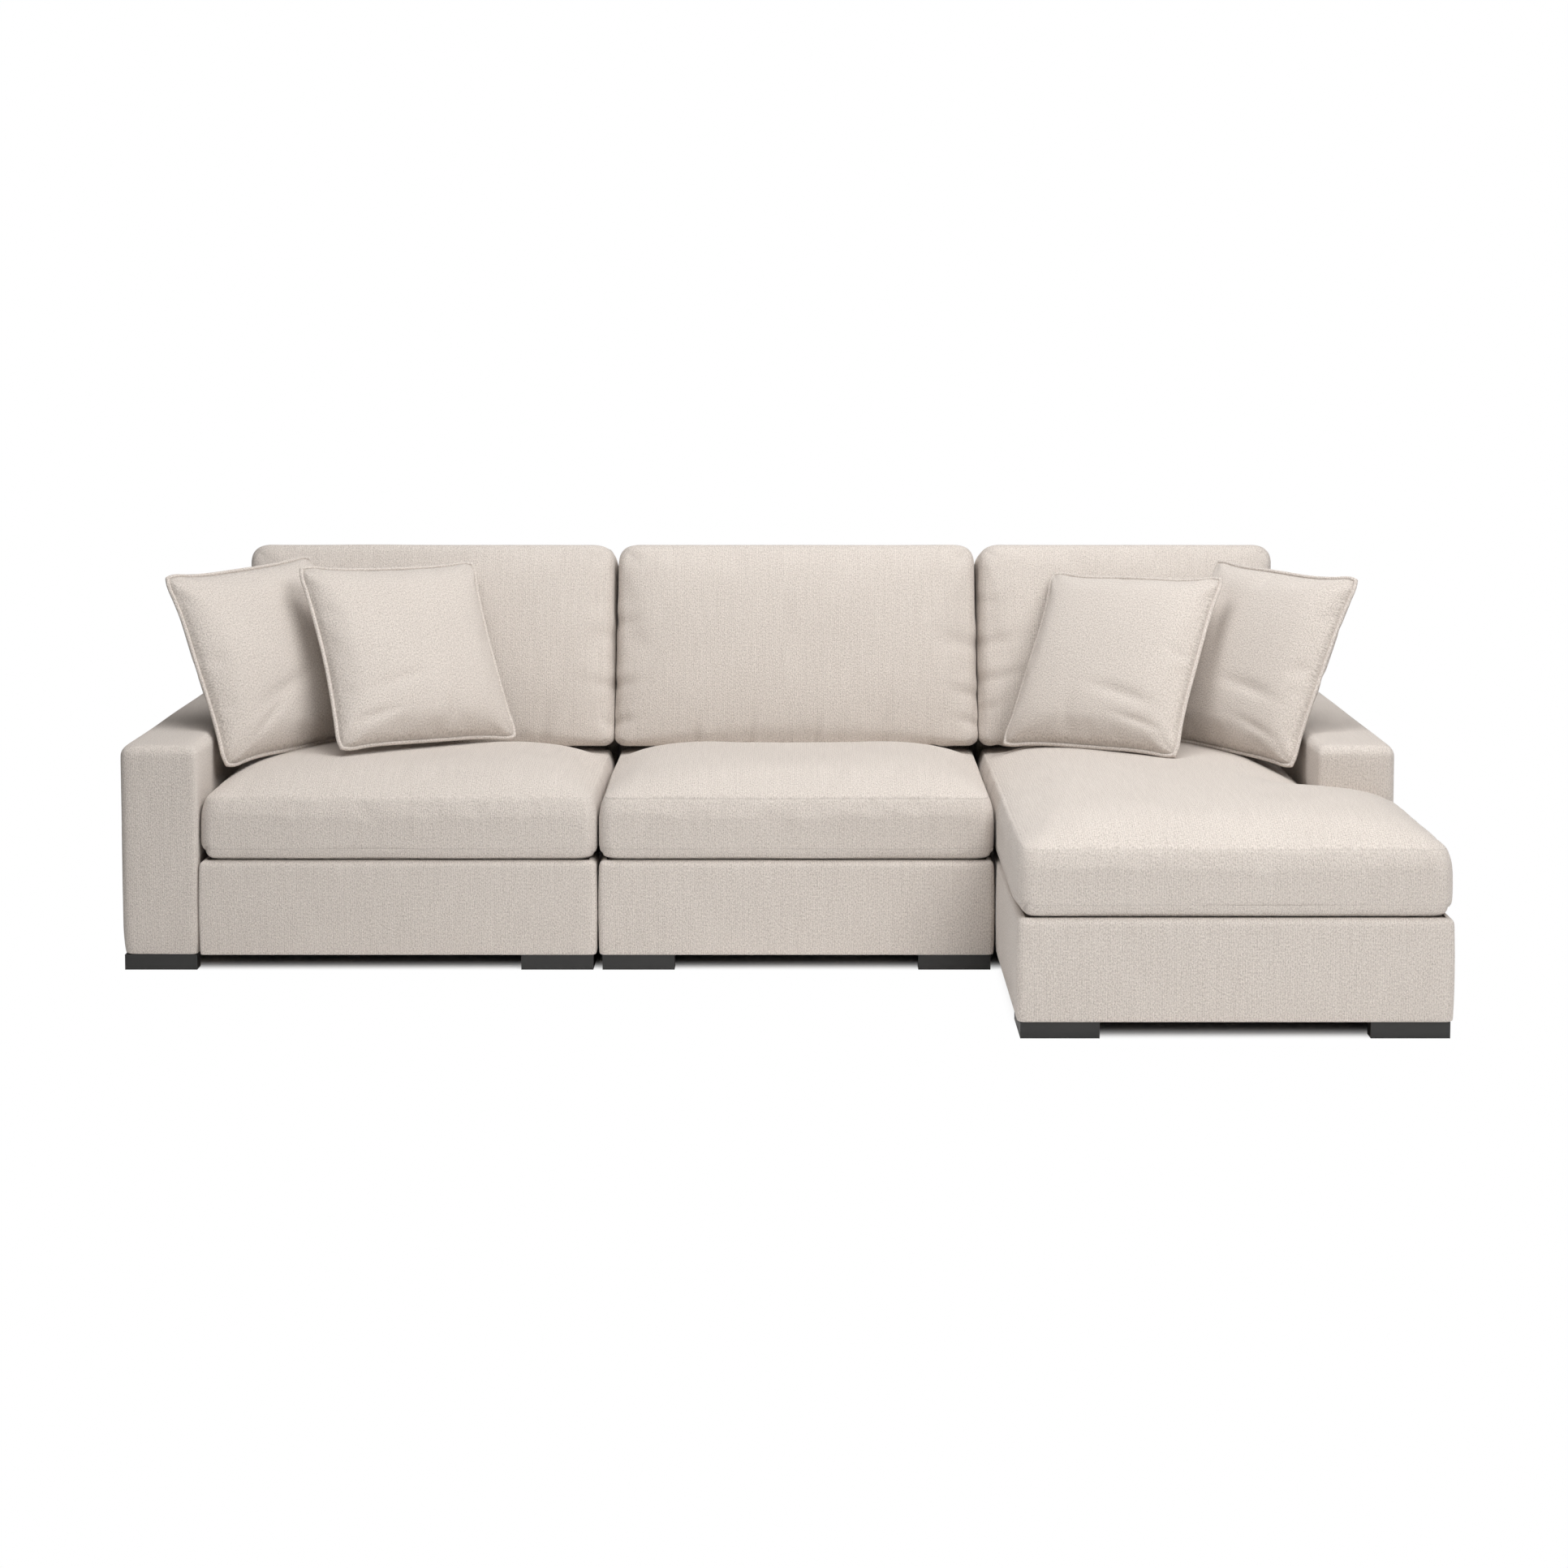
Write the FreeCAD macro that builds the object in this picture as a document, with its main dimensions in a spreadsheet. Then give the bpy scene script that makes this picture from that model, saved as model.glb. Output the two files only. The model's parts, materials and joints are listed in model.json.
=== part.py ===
import FreeCAD, Part
import math
import os
import Sketcher

# Sectional sofa with chaise: three upholstered modules side by side.
# The left module has an arm, the middle module has none, and the chaise module
# on the right has a short arm at its rear. Millimetres, +Z up, +X to the right
# of somebody who faces the sofa, -Y towards them. The origin is on the floor,
# in the middle of the whole footprint.

doc = FreeCAD.newDocument("sectional_sofa")
sheet = doc.addObject("Spreadsheet::Sheet", "sizes")

# Driving dimensions
SIZES = {
    "left_width": 1152,
    "middle_width": 957,
    "chaise_width": 963,
    "module_gap": 6,
    "arm_width": 190,
    "arm_top": 551,
    "sofa_depth": 1016,
    "chaise_depth": 1669,
    "foot_height": 37,
    "foot_leg": 175,
    "foot_thick": 40,
    "foot_inset": 8,
    "base_top": 268,
    "back_frame_top": 660,
    "cover_wall": 14,
    "corner_round": 14,
    "arm_round": 24,
    "rail_thick": 22,
    "rail_top": 222,
    "panel_thick": 18,
    "back_upright": 40,
    "cloth": 1,
    "deck_thick": 26,
    "seat_bottom": 270,
    "seat_seam_low": 297,
    "seat_seam_high": 418,
    "seat_top": 480,
    "seat_depth": 805,
    "seat_clear": 3,
    "sit_depth": 620,
    "recline": 15,
    "back_bottom": 441,
    "back_top": 962,
    "back_thick": 235,
    "back_gap": 3,
    "cover_cloth": 4,
    "core_clear": 3,
    "pillow_side": 504,
    "pillow_draw": 17,
    "pillow_half": 74,
    "piping_radius": 4.5,
    "screw_radius": 3,
    "screw_head": 6,
    "screw_length": 62,
    "spring_wire": 1.9,
    "spring_width": 56,
    "spring_pitch": 34,
    "plate_thick": 1.4,
    "plate_width": 60,
    "channel_width": 5.6,
    "channel_low": 103,
    "channel_high": 143,
    "hook_clear": 0.7,
    "hook_low": 109,
    "hook_bend": 147,
    "hook_high": 189,
}
for row, (alias, value) in enumerate(SIZES.items(), start=1):
    sheet.set("A%d" % row, alias)
    sheet.set("B%d" % row, str(value))
    sheet.setAlias("B%d" % row, alias)
doc.recompute()


def size(alias):
    """A driving dimension as a number."""
    return float(getattr(sheet, alias))


def num(expression):
    """The value of an expression of the sheet's cells."""
    value = sheet.evalExpression(expression)
    return float(getattr(value, "Value", value))


# Where the modules lie, as expressions of the sheet's cells
TOTAL = "(sizes.left_width + sizes.middle_width + sizes.chaise_width + 2 * sizes.module_gap)"
LEFT_LO = "(0 - %s / 2)" % TOTAL
LEFT_HI = "(%s + sizes.left_width)" % LEFT_LO
MIDDLE_LO = "(%s + sizes.module_gap)" % LEFT_HI
MIDDLE_HI = "(%s + sizes.middle_width)" % MIDDLE_LO
CHAISE_LO = "(%s + sizes.module_gap)" % MIDDLE_HI
CHAISE_HI = "(%s + sizes.chaise_width)" % CHAISE_LO
LEFT_SEAT_LO = "(%s + sizes.arm_width)" % LEFT_LO
CHAISE_SEAT_HI = "(%s - sizes.arm_width)" % CHAISE_HI
REAR = "(sizes.chaise_depth / 2)"
FRONT = "(sizes.chaise_depth / 2 - sizes.sofa_depth)"
CHAISE_FRONT = "(0 - sizes.chaise_depth / 2)"

# The three seat boxes: name, low x, high x. The arms stand outside them.
MODULES = {
    "left": (LEFT_SEAT_LO, LEFT_HI),
    "middle": (MIDDLE_LO, MIDDLE_HI),
    "chaise": (CHAISE_LO, CHAISE_SEAT_HI),
}
front_y = num(FRONT)
recline = math.radians(size("recline"))
nodes = []


def vector(x, y, z):
    return FreeCAD.Vector(x, y, z)


def keep(obj, label):
    """Name an object as a sub-part that is written out."""
    obj.Label = label
    nodes.append(obj)
    return obj


def place(obj, x=None, y=None, z=None):
    """Bind an object's position to expressions of the sheet."""
    for axis, expression in (("x", x), ("y", y), ("z", z)):
        if expression is not None:
            obj.setExpression("Placement.Base." + axis, expression)


def box(x, y, z, length, width, height):
    """A box whose corner and sides are expressions of the sheet."""
    obj = doc.addObject("Part::Box", "box")
    obj.setExpression("Length", length)
    obj.setExpression("Width", width)
    obj.setExpression("Height", height)
    place(obj, x, y, z)
    return obj


def cylinder(x, y, z, radius, height):
    """An upright cylinder whose place and sizes are expressions of the sheet."""
    obj = doc.addObject("Part::Cylinder", "cylinder")
    obj.setExpression("Radius", radius)
    obj.setExpression("Height", height)
    place(obj, x, y, z)
    return obj


def fuse(objects):
    obj = doc.addObject("Part::MultiFuse", "fuse")
    obj.Shapes = objects
    return obj


def group(objects):
    obj = doc.addObject("Part::Compound", "group")
    obj.Links = objects
    return obj


def cut(base, tool):
    obj = doc.addObject("Part::Cut", "cut")
    obj.Base = base
    obj.Tool = tool
    return obj


def sketch(body, role, points):
    """A closed outline of straight lines on one of the body's origin planes.
    Each point is a pair of expressions, bound as the distances from the origin."""
    profile = body.newObject("Sketcher::SketchObject", "profile")
    plane = [item for item in body.Origin.OriginFeatures if item.Role == role][0]
    profile.AttachmentSupport = (plane, "")
    profile.MapMode = "FlatFace"
    places = [(num(u), num(v)) for u, v in points]
    count = len(points)
    for index in range(count):
        start = vector(*places[index], 0)
        end = vector(*places[(index + 1) % count], 0)
        profile.addGeometry(Part.LineSegment(start, end))
    for index in range(count):
        profile.addConstraint(Sketcher.Constraint("Coincident", index, 2, (index + 1) % count, 1))
    for index, (u, v) in enumerate(points):
        for kind, expression in (("DistanceX", u), ("DistanceY", v)):
            at = profile.addConstraint(Sketcher.Constraint(kind, -1, 1, index, 1, num(expression)))
            profile.setExpression("Constraints[%d]" % at, expression)
    return profile


def prism(role, points, length, reverse=False):
    """A body that pads an outline of straight lines by a length."""
    body = doc.addObject("PartDesign::Body", "body")
    pad = body.newObject("PartDesign::Pad", "pad")
    pad.Profile = sketch(body, role, points)
    pad.setExpression("Length", length)
    pad.Reversed = reverse
    doc.recompute()
    return body


def rounded(body, radius, chosen):
    """Round the edges of a body that a test picks by their two ends."""
    names = []
    for index, edge in enumerate(body.Shape.Edges, start=1):
        ends = [vertex.Point for vertex in edge.Vertexes]
        if len(ends) == 2 and chosen(ends[0], ends[1]):
            names.append("Edge%d" % index)
    solid = body.Tip
    fillet = body.newObject("PartDesign::Fillet", "rounding")
    fillet.Base = (solid, names)
    fillet.setExpression("Radius", radius)
    body.Tip = fillet
    doc.recompute()
    if "Invalid" in fillet.State:
        raise RuntimeError("rounding failed: %s of %s by %s" % (names, body.Shape.BoundBox, radius))
    return body


def upright(start, end):
    return abs(start.x - end.x) < 0.01 and abs(start.y - end.y) < 0.01


def rectangle(x_lo, x_hi, y_lo, y_hi, inset="0"):
    """Corner points of a rectangle, drawn in by an inset."""
    inset = "(%s)" % inset
    west = "(%s + %s)" % (x_lo, inset)
    east = "(%s - %s)" % (x_hi, inset)
    south = "(%s + %s)" % (y_lo, inset)
    north = "(%s - %s)" % (y_hi, inset)
    return [(west, south), (east, south), (east, north), (west, north)]


def chaise_plan(inset="0"):
    """Corner points of the chaise's base: full width ahead of the arm, narrower beside it."""
    inset = "(%s)" % inset
    west = "(%s + %s)" % (CHAISE_LO, inset)
    east = "(%s - %s)" % (CHAISE_HI, inset)
    beside_arm = "(%s - sizes.cloth - %s)" % (CHAISE_SEAT_HI, inset)
    south = "(%s + %s)" % (CHAISE_FRONT, inset)
    before_arm = "(%s - sizes.cloth - %s)" % (FRONT, inset)
    north = "(%s - %s)" % (REAR, inset)
    return [
        (west, south), (east, south), (east, before_arm),
        (beside_arm, before_arm), (beside_arm, north), (west, north),
    ]


def base_plan(name, inset="0"):
    """Corner points of a module's seat box."""
    if name == "chaise":
        return chaise_plan(inset)
    x_lo, x_hi = MODULES[name]
    if name == "left":
        x_lo = "(%s + sizes.cloth)" % x_lo
    return rectangle(x_lo, x_hi, FRONT, REAR, inset)


def ring(outer_points, inner_points, height, radius=None):
    """A wall that follows a plan: the outer outline padded, the inner one cut through."""
    outer = prism("XY_Plane", outer_points, height)
    if radius:
        rounded(outer, radius, upright)
    inner = prism("XY_Plane", inner_points, height)
    return cut(outer, inner)


# Feet: an L of two blocks under each corner of a module, with two screw holes

def foot_centres(x_dir, y_dir, x_corner, y_corner):
    """Where the two screws of a foot go, measured in from the module's corner."""
    along = "sizes.foot_leg * 0.7"
    across = "sizes.cover_wall + sizes.rail_thick / 2"
    return [
        ("%s + %d * (%s)" % (x_corner, x_dir, along), "%s + %d * (%s)" % (y_corner, y_dir, across)),
        ("%s + %d * (%s)" % (x_corner, x_dir, across), "%s + %d * (%s)" % (y_corner, y_dir, along)),
    ]


def foot(x_dir, y_dir, x_corner, y_corner):
    """One L-shaped foot that opens towards the middle of its module."""
    def point(u, v):
        return (
            "%s + %d * (%s)" % (x_corner, x_dir, u),
            "%s + %d * (%s)" % (y_corner, y_dir, v),
        )
    near = "sizes.foot_inset"
    thick = "sizes.foot_inset + sizes.foot_thick"
    far = "sizes.foot_inset + sizes.foot_leg"
    outline = [
        point(near, near), point(far, near), point(far, thick),
        point(thick, thick), point(thick, far), point(near, far),
    ]
    block = prism("XY_Plane", outline, "sizes.foot_height")
    holes = []
    for x, y in foot_centres(x_dir, y_dir, x_corner, y_corner):
        holes.append(cylinder(x, y, "0", "sizes.screw_radius + 0.3", "sizes.foot_height"))
        holes.append(cylinder(x, y, "0", "sizes.screw_head + 0.5", "sizes.foot_height / 2"))
    return cut(block, fuse(holes))


FOOT_CORNERS = {
    "left": [
        (1, 1, LEFT_LO, FRONT), (-1, 1, LEFT_HI, FRONT),
        (1, -1, LEFT_LO, REAR), (-1, -1, LEFT_HI, REAR),
    ],
    "middle": [
        (1, 1, MIDDLE_LO, FRONT), (-1, 1, MIDDLE_HI, FRONT),
        (1, -1, MIDDLE_LO, REAR), (-1, -1, MIDDLE_HI, REAR),
    ],
    "chaise": [
        (1, 1, CHAISE_LO, CHAISE_FRONT), (-1, 1, CHAISE_HI, CHAISE_FRONT),
        (1, -1, CHAISE_LO, REAR), (-1, -1, CHAISE_HI, REAR),
    ],
}


def screws(corners):
    """Flat-headed screws that go up through the feet into the rails."""
    shafts = []
    for corner in corners:
        for x, y in foot_centres(*corner):
            start = "sizes.foot_height / 2 - sizes.screw_radius"
            shaft = cylinder(x, y, start, "sizes.screw_radius", "sizes.screw_length")
            head = cylinder(x, y, start, "sizes.screw_head", "sizes.screw_radius")
            shafts.append(fuse([shaft, head]))
    return group(shafts)


def pilot_holes(corners):
    """The holes that the screws need in the rails above the feet."""
    holes = []
    for corner in corners:
        for x, y in foot_centres(*corner):
            start = "sizes.foot_height"
            holes.append(cylinder(x, y, start, "sizes.screw_radius + 0.3", "sizes.screw_length"))
    return fuse(holes)


# Base frame: a ring of rails with glued corner blocks and one cross rail

RAIL_LOW = "(sizes.foot_height + 1.5)"
RAIL_INSET = "(sizes.cover_wall + 1)"


def base_frame(name, corners):
    """Rails with corner blocks and a cross rail, drilled for the feet's screws."""
    outer = base_plan(name, RAIL_INSET)
    inner = base_plan(name, "%s + sizes.rail_thick" % RAIL_INSET)
    height = "(sizes.rail_top - %s)" % RAIL_LOW
    rails = ring(outer, inner, height)
    place(rails, z=RAIL_LOW)
    x_lo, y_lo = inner[0]
    x_hi = inner[1][0]
    y_hi = inner[-1][1]
    block = "sizes.rail_thick * 2"
    parts = [rails]
    for x in (x_lo, "%s - %s" % (inner[-2][0], block)):
        parts.append(box(x, "%s - %s" % (y_hi, block), RAIL_LOW, block, block, height))
    for x in (x_lo, "%s - %s" % (x_hi, block)):
        parts.append(box(x, y_lo, RAIL_LOW, block, block, height))
    middle = "(%s + %s) / 2" % (y_lo, y_hi)
    parts.append(box(x_lo, middle, RAIL_LOW, "%s - %s" % (inner[-2][0], x_lo), "sizes.rail_thick",
                     "%s / 2" % height))
    return cut(fuse(parts), pilot_holes(corners))


def seat_deck(name):
    """A padded panel that lies on the springs, inside the base cover."""
    deck = prism("XY_Plane", base_plan(name, RAIL_INSET), "sizes.deck_thick")
    place(deck, z="sizes.base_top - 2 - sizes.deck_thick")
    return deck


ARMS = {"left": LEFT_LO, "chaise": CHAISE_SEAT_HI}


def dust_cover(name):
    """Thin cloths stapled under the rails and the arm, clear of the feet's screws."""
    lap = "%s + sizes.rail_thick * 0.7" % RAIL_INSET
    plans = [base_plan(name, lap)]
    if name in ARMS:
        arm_hi = "(%s + sizes.arm_width)" % ARMS[name]
        plans.append(rectangle(ARMS[name], arm_hi, FRONT, REAR, lap))
    cloths = []
    for plan in plans:
        piece = prism("XY_Plane", plan, "sizes.cloth")
        place(piece, z="sizes.foot_height + 0.3")
        cloths.append(piece)
    return group(cloths)


def base_cover(name):
    """The upholstered wall round the seat box, from the feet to just under the cushion."""
    wall = ring(base_plan(name), base_plan(name, "sizes.cover_wall"),
                "sizes.base_top - sizes.foot_height", "sizes.corner_round")
    place(wall, z="sizes.foot_height")
    return wall


# Seat springs: flat zigzag wires that cross the frame

def sinuous(start, along, across, length):
    """One zigzag wire: straight runs across, joined by half turns, from a start point."""
    pitch = size("spring_pitch")
    half = size("spring_width") / 2 - pitch / 2
    runs = int(length / pitch)
    edges = []
    for index in range(runs):
        side = 1 if index % 2 == 0 else -1
        base = start + along * (index * pitch)
        near = base - across * (side * half)
        far = base + across * (side * half)
        edges.append(Part.LineSegment(near, far).toShape())
        if index < runs - 1:
            turn = base + along * (pitch / 2) + across * (side * (half + pitch / 2))
            edges.append(Part.Arc(far, turn, far + along * pitch).toShape())
    path = Part.Wire(edges)
    first = start - across * half
    circle = Part.makeCircle(size("spring_wire"), first, across)
    tube = path.makePipeShell([Part.Wire(circle)], True, False)
    return tube


def seat_springs(name):
    """A row of zigzag wires that lie on the rails."""
    plan = [(num(u), num(v)) for u, v in base_plan(name, "%s + sizes.rail_thick" % RAIL_INSET)]
    x_lo, y_lo = plan[0]
    x_hi = plan[-2][0]
    y_hi = plan[-1][1]
    z = size("rail_top") + 2 * size("spring_wire")
    wires = []
    if name == "chaise":
        rows = 9
        step = (y_hi - y_lo) / rows
        for index in range(rows):
            y = y_lo + step * (index + 0.5)
            right = plan[1][0] if y < front_y - 2 * size("rail_thick") else x_hi
            wires.append(sinuous(vector(x_lo, y, z), vector(1, 0, 0), vector(0, 1, 0), right - x_lo))
    else:
        columns = 5
        step = (x_hi - x_lo) / columns
        for index in range(columns):
            x = x_lo + step * (index + 0.5)
            wires.append(sinuous(vector(x, y_lo, z), vector(0, 1, 0), vector(1, 0, 0), y_hi - y_lo))
    springs = doc.addObject("Part::Feature", "springs")
    springs.Shape = Part.makeCompound(wires)
    return springs


# Back frame and back cover: the back leans with its front face

SLOPE = "tan(sizes.recline)"
BACK_FOOT = "(%s + sizes.sit_depth + sizes.back_thick / cos(sizes.recline) + sizes.back_gap)" % FRONT
BACK_LOW = "(sizes.base_top + 0.5)"


def back_profile(inset="0"):
    """The side view of the back: an upright rear face, a sloping front face, a level top."""
    inset = "(%s)" % inset

    def front_at(z):
        return "%s + (%s - sizes.back_bottom) * %s + %s" % (BACK_FOOT, z, SLOPE, inset)
    low = "(%s + %s)" % (BACK_LOW, inset)
    high = "(sizes.back_frame_top - %s)" % inset
    return [
        (front_at(low), low),
        ("%s - %s" % (REAR, inset), low),
        ("%s - %s" % (REAR, inset), high),
        (front_at(high), high),
    ]


def back_sides(name):
    """The low and high x of the back, between the arm and the next module."""
    x_lo, x_hi = MODULES[name]
    if name == "left":
        x_lo = "(%s + sizes.cloth)" % x_lo
    if name == "chaise":
        x_hi = "(%s - sizes.cloth)" % x_hi
    return x_lo, x_hi


def back_cover(name):
    """The upholstered shell of the back, closed all round."""
    x_lo, x_hi = back_sides(name)
    width = "%s - %s" % (x_hi, x_lo)
    outer = prism("YZ_Plane", back_profile(), width)
    top = size("back_frame_top")

    def crossing(start, end):
        level = abs(start.y - end.y) < 0.01 and abs(start.z - end.z) < 0.01
        return level and start.z > top - 1
    rounded(outer, "sizes.arm_round", crossing)
    place(outer, x=x_lo)
    inner = prism("YZ_Plane", back_profile("sizes.cover_wall"), "%s - 2 * sizes.cover_wall" % width)
    place(inner, x="%s + sizes.cover_wall" % x_lo)
    return cut(outer, inner)


def back_frame(name):
    """Four sloping uprights joined by a rail at the foot and one at the head."""
    x_lo, x_hi = back_sides(name)
    inset = "(sizes.cover_wall + 1)"
    profile = back_profile(inset)
    start = "%s + %s" % (x_lo, inset)
    span = "%s - %s - 2 * %s" % (x_hi, x_lo, inset)
    uprights = 4
    parts = []
    for index in range(uprights):
        post = prism("YZ_Plane", profile, "sizes.back_upright")
        share = index / (uprights - 1)
        place(post, x="%s + (%s - sizes.back_upright) * %.6f" % (start, span, share))
        parts.append(post)
    low = "(%s + %s)" % (BACK_LOW, inset)
    high = "(sizes.back_frame_top - %s)" % inset
    rail_y = "%s - %s - sizes.rail_thick" % (REAR, inset)
    parts.append(box(start, rail_y, low, span, "sizes.rail_thick", "sizes.rail_thick * 4"))
    parts.append(box(start, rail_y, "%s - sizes.rail_thick * 4" % high, span, "sizes.rail_thick",
                     "sizes.rail_thick * 4"))
    return fuse(parts)


# Arms: a hollow box of panels inside an upholstered cover

def arm_cover(x_lo):
    """The upholstered arm: its top's long edges are well rounded, its other edges a little."""
    x_hi = "(%s + sizes.arm_width)" % x_lo
    height = "(sizes.arm_top - sizes.foot_height)"
    outer = prism("XY_Plane", rectangle(x_lo, x_hi, FRONT, REAR), height)
    top = num(height)

    def long_rim(start, end):
        return min(start.z, end.z) > top - 0.01 and abs(start.x - end.x) < 0.01
    rounded(outer, "sizes.arm_round", long_rim)

    def end_rim(start, end):
        return abs(start.y - end.y) < 0.01 and max(start.z, end.z) > 0.01
    rounded(outer, "sizes.corner_round", end_rim)
    inner = prism("XY_Plane", rectangle(x_lo, x_hi, FRONT, REAR, "sizes.cover_wall"),
                  "%s - sizes.cover_wall" % height)
    cover = cut(outer, inner)
    place(cover, z="sizes.foot_height")
    return cover


def arm_frame(x_lo, corners):
    """Panels on four sides and a board on top, open underneath."""
    x_hi = "(%s + sizes.arm_width)" % x_lo
    height = "(sizes.arm_top - sizes.cover_wall - 1 - %s)" % RAIL_LOW
    outer = prism("XY_Plane", rectangle(x_lo, x_hi, FRONT, REAR, RAIL_INSET), height)
    inner = prism("XY_Plane", rectangle(x_lo, x_hi, FRONT, REAR, "%s + sizes.rail_thick" % RAIL_INSET),
                  "%s - sizes.panel_thick" % height)
    panels = cut(outer, inner)
    place(panels, z=RAIL_LOW)
    return cut(panels, pilot_holes(corners))


# Connectors: a channel on the middle module takes a hook on its neighbour

def connector_profile(kind, face, out):
    """The cross-section of a folded plate, measured outwards from the middle module's face."""
    def point(g, z):
        return ("%s + %d * (%s)" % (face, out, g), "sizes.foot_height + %s" % z)
    thick = "sizes.plate_thick"
    if kind == "channel":
        far = "sizes.channel_width"
        low = "sizes.channel_low"
        high = "sizes.channel_high"
        floor = "%s + %s" % (low, thick)
        steps = [
            ("0", low), (far, low), (far, high), ("%s - %s" % (far, thick), high),
            ("%s - %s" % (far, thick), floor), (thick, floor), (thick, high), ("0", high),
        ]
    else:
        near = "%s + sizes.hook_clear" % thick
        low = "sizes.hook_low"
        bend = "sizes.hook_bend"
        high = "sizes.hook_high"
        gap = "sizes.module_gap"
        steps = [
            (near, low), ("%s + %s" % (near, thick), low), ("%s + %s" % (near, thick), bend), (gap, bend),
            (gap, high), ("%s - %s" % (gap, thick), high),
            ("%s - %s" % (gap, thick), "%s + %s" % (bend, thick)), (near, "%s + %s" % (bend, thick)),
        ]
    return [point(g, z) for g, z in steps]


def connector(kind, face, out, depth):
    """A folded plate at a given distance behind the sofa's front."""
    plate = prism("XZ_Plane", connector_profile(kind, face, out), "sizes.plate_width", True)
    place(plate, y="%s + %s" % (FRONT, depth))
    return plate


CONNECTOR_DEPTHS = ("sizes.sofa_depth * 0.3", "sizes.sofa_depth * 0.7")


# Cushions: straight-sided lofts through outlines that are drawn in step by step

NOTCH_ROUND = 8.0


def outline(corners, round_by, draw, lift):
    """A closed wire through rounded corners. Its sides are arcs that draw in by a little.
    corners are (u, v) going anticlockwise, and lift turns (u, v) into a point in space.
    A corner that turns the other way, as beside the arm, is rounded less."""
    count = len(corners)
    ends = []
    for index in range(count):
        here = vector(*corners[index], 0)
        before = (vector(*corners[index - 1], 0) - here).normalize()
        after = (vector(*corners[(index + 1) % count], 0) - here).normalize()
        radius = round_by if after.cross(before).z > 0 else NOTCH_ROUND
        reach = radius / math.tan(before.getAngle(after) / 2)
        middle = (before + after).normalize()
        apex = here + middle * (radius / math.sin(before.getAngle(after) / 2) - radius)
        ends.append((here + before * reach, apex, here + after * reach))
    edges = []
    for index in range(count):
        start, apex, end = ends[index]
        edges.append(Part.Arc(lift(start), lift(apex), lift(end)).toShape())
        following = ends[(index + 1) % count][0]
        side = following - end
        inward = vector(-side.y, side.x, 0).normalize()
        midpoint = (end + following) * 0.5 + inward * draw
        edges.append(Part.Arc(lift(end), lift(midpoint), lift(following)).toShape())
    return Part.Wire(edges)


def loft(wires):
    return Part.makeLoft(wires, True, True)


def shell_of(outer, inner):
    """A cover of cloth: the outer form with the inner form taken out."""
    cover = outer.cut(inner)
    if abs(outer.Volume - inner.Volume - cover.Volume) > 1e-4 * outer.Volume:
        raise RuntimeError("a cushion's core leaves its cover")
    return cover


# Height above the seams, and how far the outline is drawn in there: (height share, inset)
SEAT_SIDE = [(0.0, 9.0), (0.25, 2.0), (1.0, 0.0)]
SEAT_CROWN = [(0.0, 0.0), (0.22, 10.0), (0.42, 28.0), (0.62, 60.0), (0.8, 110.0), (0.93, 175.0), (1.0, 250.0)]


def seat_corners(name, inset, rear_inset):
    """Corner points of a seat cushion, in numbers, drawn in by an inset."""
    clear = size("seat_clear")
    x_lo, x_hi = (num(value) for value in MODULES[name])
    y_hi = front_y + size("seat_depth") - rear_inset
    if name == "chaise":
        y_lo = num(CHAISE_FRONT) + clear + inset
        x_out = num(CHAISE_HI) - clear - inset
        notch = front_y - clear - inset
        x_in = x_hi - clear - inset
        return [
            (x_lo + inset, y_lo), (x_out, y_lo), (x_out, notch), (x_in, notch), (x_in, y_hi), (x_lo + inset, y_hi),
        ]
    y_lo = front_y + inset
    x_lo += clear if name == "left" else 0
    return [(x_lo + inset, y_lo), (x_hi - inset, y_lo), (x_hi - inset, y_hi), (x_lo + inset, y_hi)]


def seat_form(name, shrink):
    """A seat cushion: boxed sides between two seams, a crown in front of the back cushion.
    Under the back cushion the crown stays flat, at the height of the back's underside."""
    low = size("seat_bottom")
    seam_low = size("seat_seam_low")
    seam_high = size("seat_seam_high")
    top = size("seat_top")
    levels = []
    for share, inset in SEAT_SIDE:
        levels.append((low + (seam_low - low) * share, inset, inset))
    bulge = -0.8
    levels.append(((seam_low + seam_high) / 2, bulge, 0.0))
    sit_inset = size("seat_depth") - size("sit_depth")
    sit_share = (size("back_bottom") - 2 - seam_high) / (top - seam_high)
    for share, inset in SEAT_CROWN:
        rear = inset if share < sit_share else sit_inset + inset * 0.6
        levels.append((seam_high + (top - seam_high) * share, inset, rear))
    wires = []
    squeeze = (top - low - 2 * shrink) / (top - low)
    for z, inset, rear in levels:
        z = low + shrink + (z - low) * squeeze
        corner = min(34.0 + 0.2 * max(inset, 0), 66.0)
        corners = seat_corners(name, inset + shrink, rear + shrink)
        wires.append(outline(corners, corner - shrink, 2.0, lambda p, z=z: vector(p.x, p.y, z)))
    return loft(wires)


# Thickness share from the rear face to the front, and how far the outline is drawn in there
BACK_LEVELS = [
    (0.0, 34.0), (0.04, 16.0), (0.12, 5.0), (0.3, 0.0), (0.62, 0.0), (0.78, 5.0), (0.86, 16.0),
    (0.92, 36.0), (0.96, 72.0), (0.99, 125.0), (1.0, 175.0),
]
# On an arm's side a back cushion stands in from the arm below, and past it above
ARM_CLEAR = 14
ARM_LAP = 22


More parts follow.
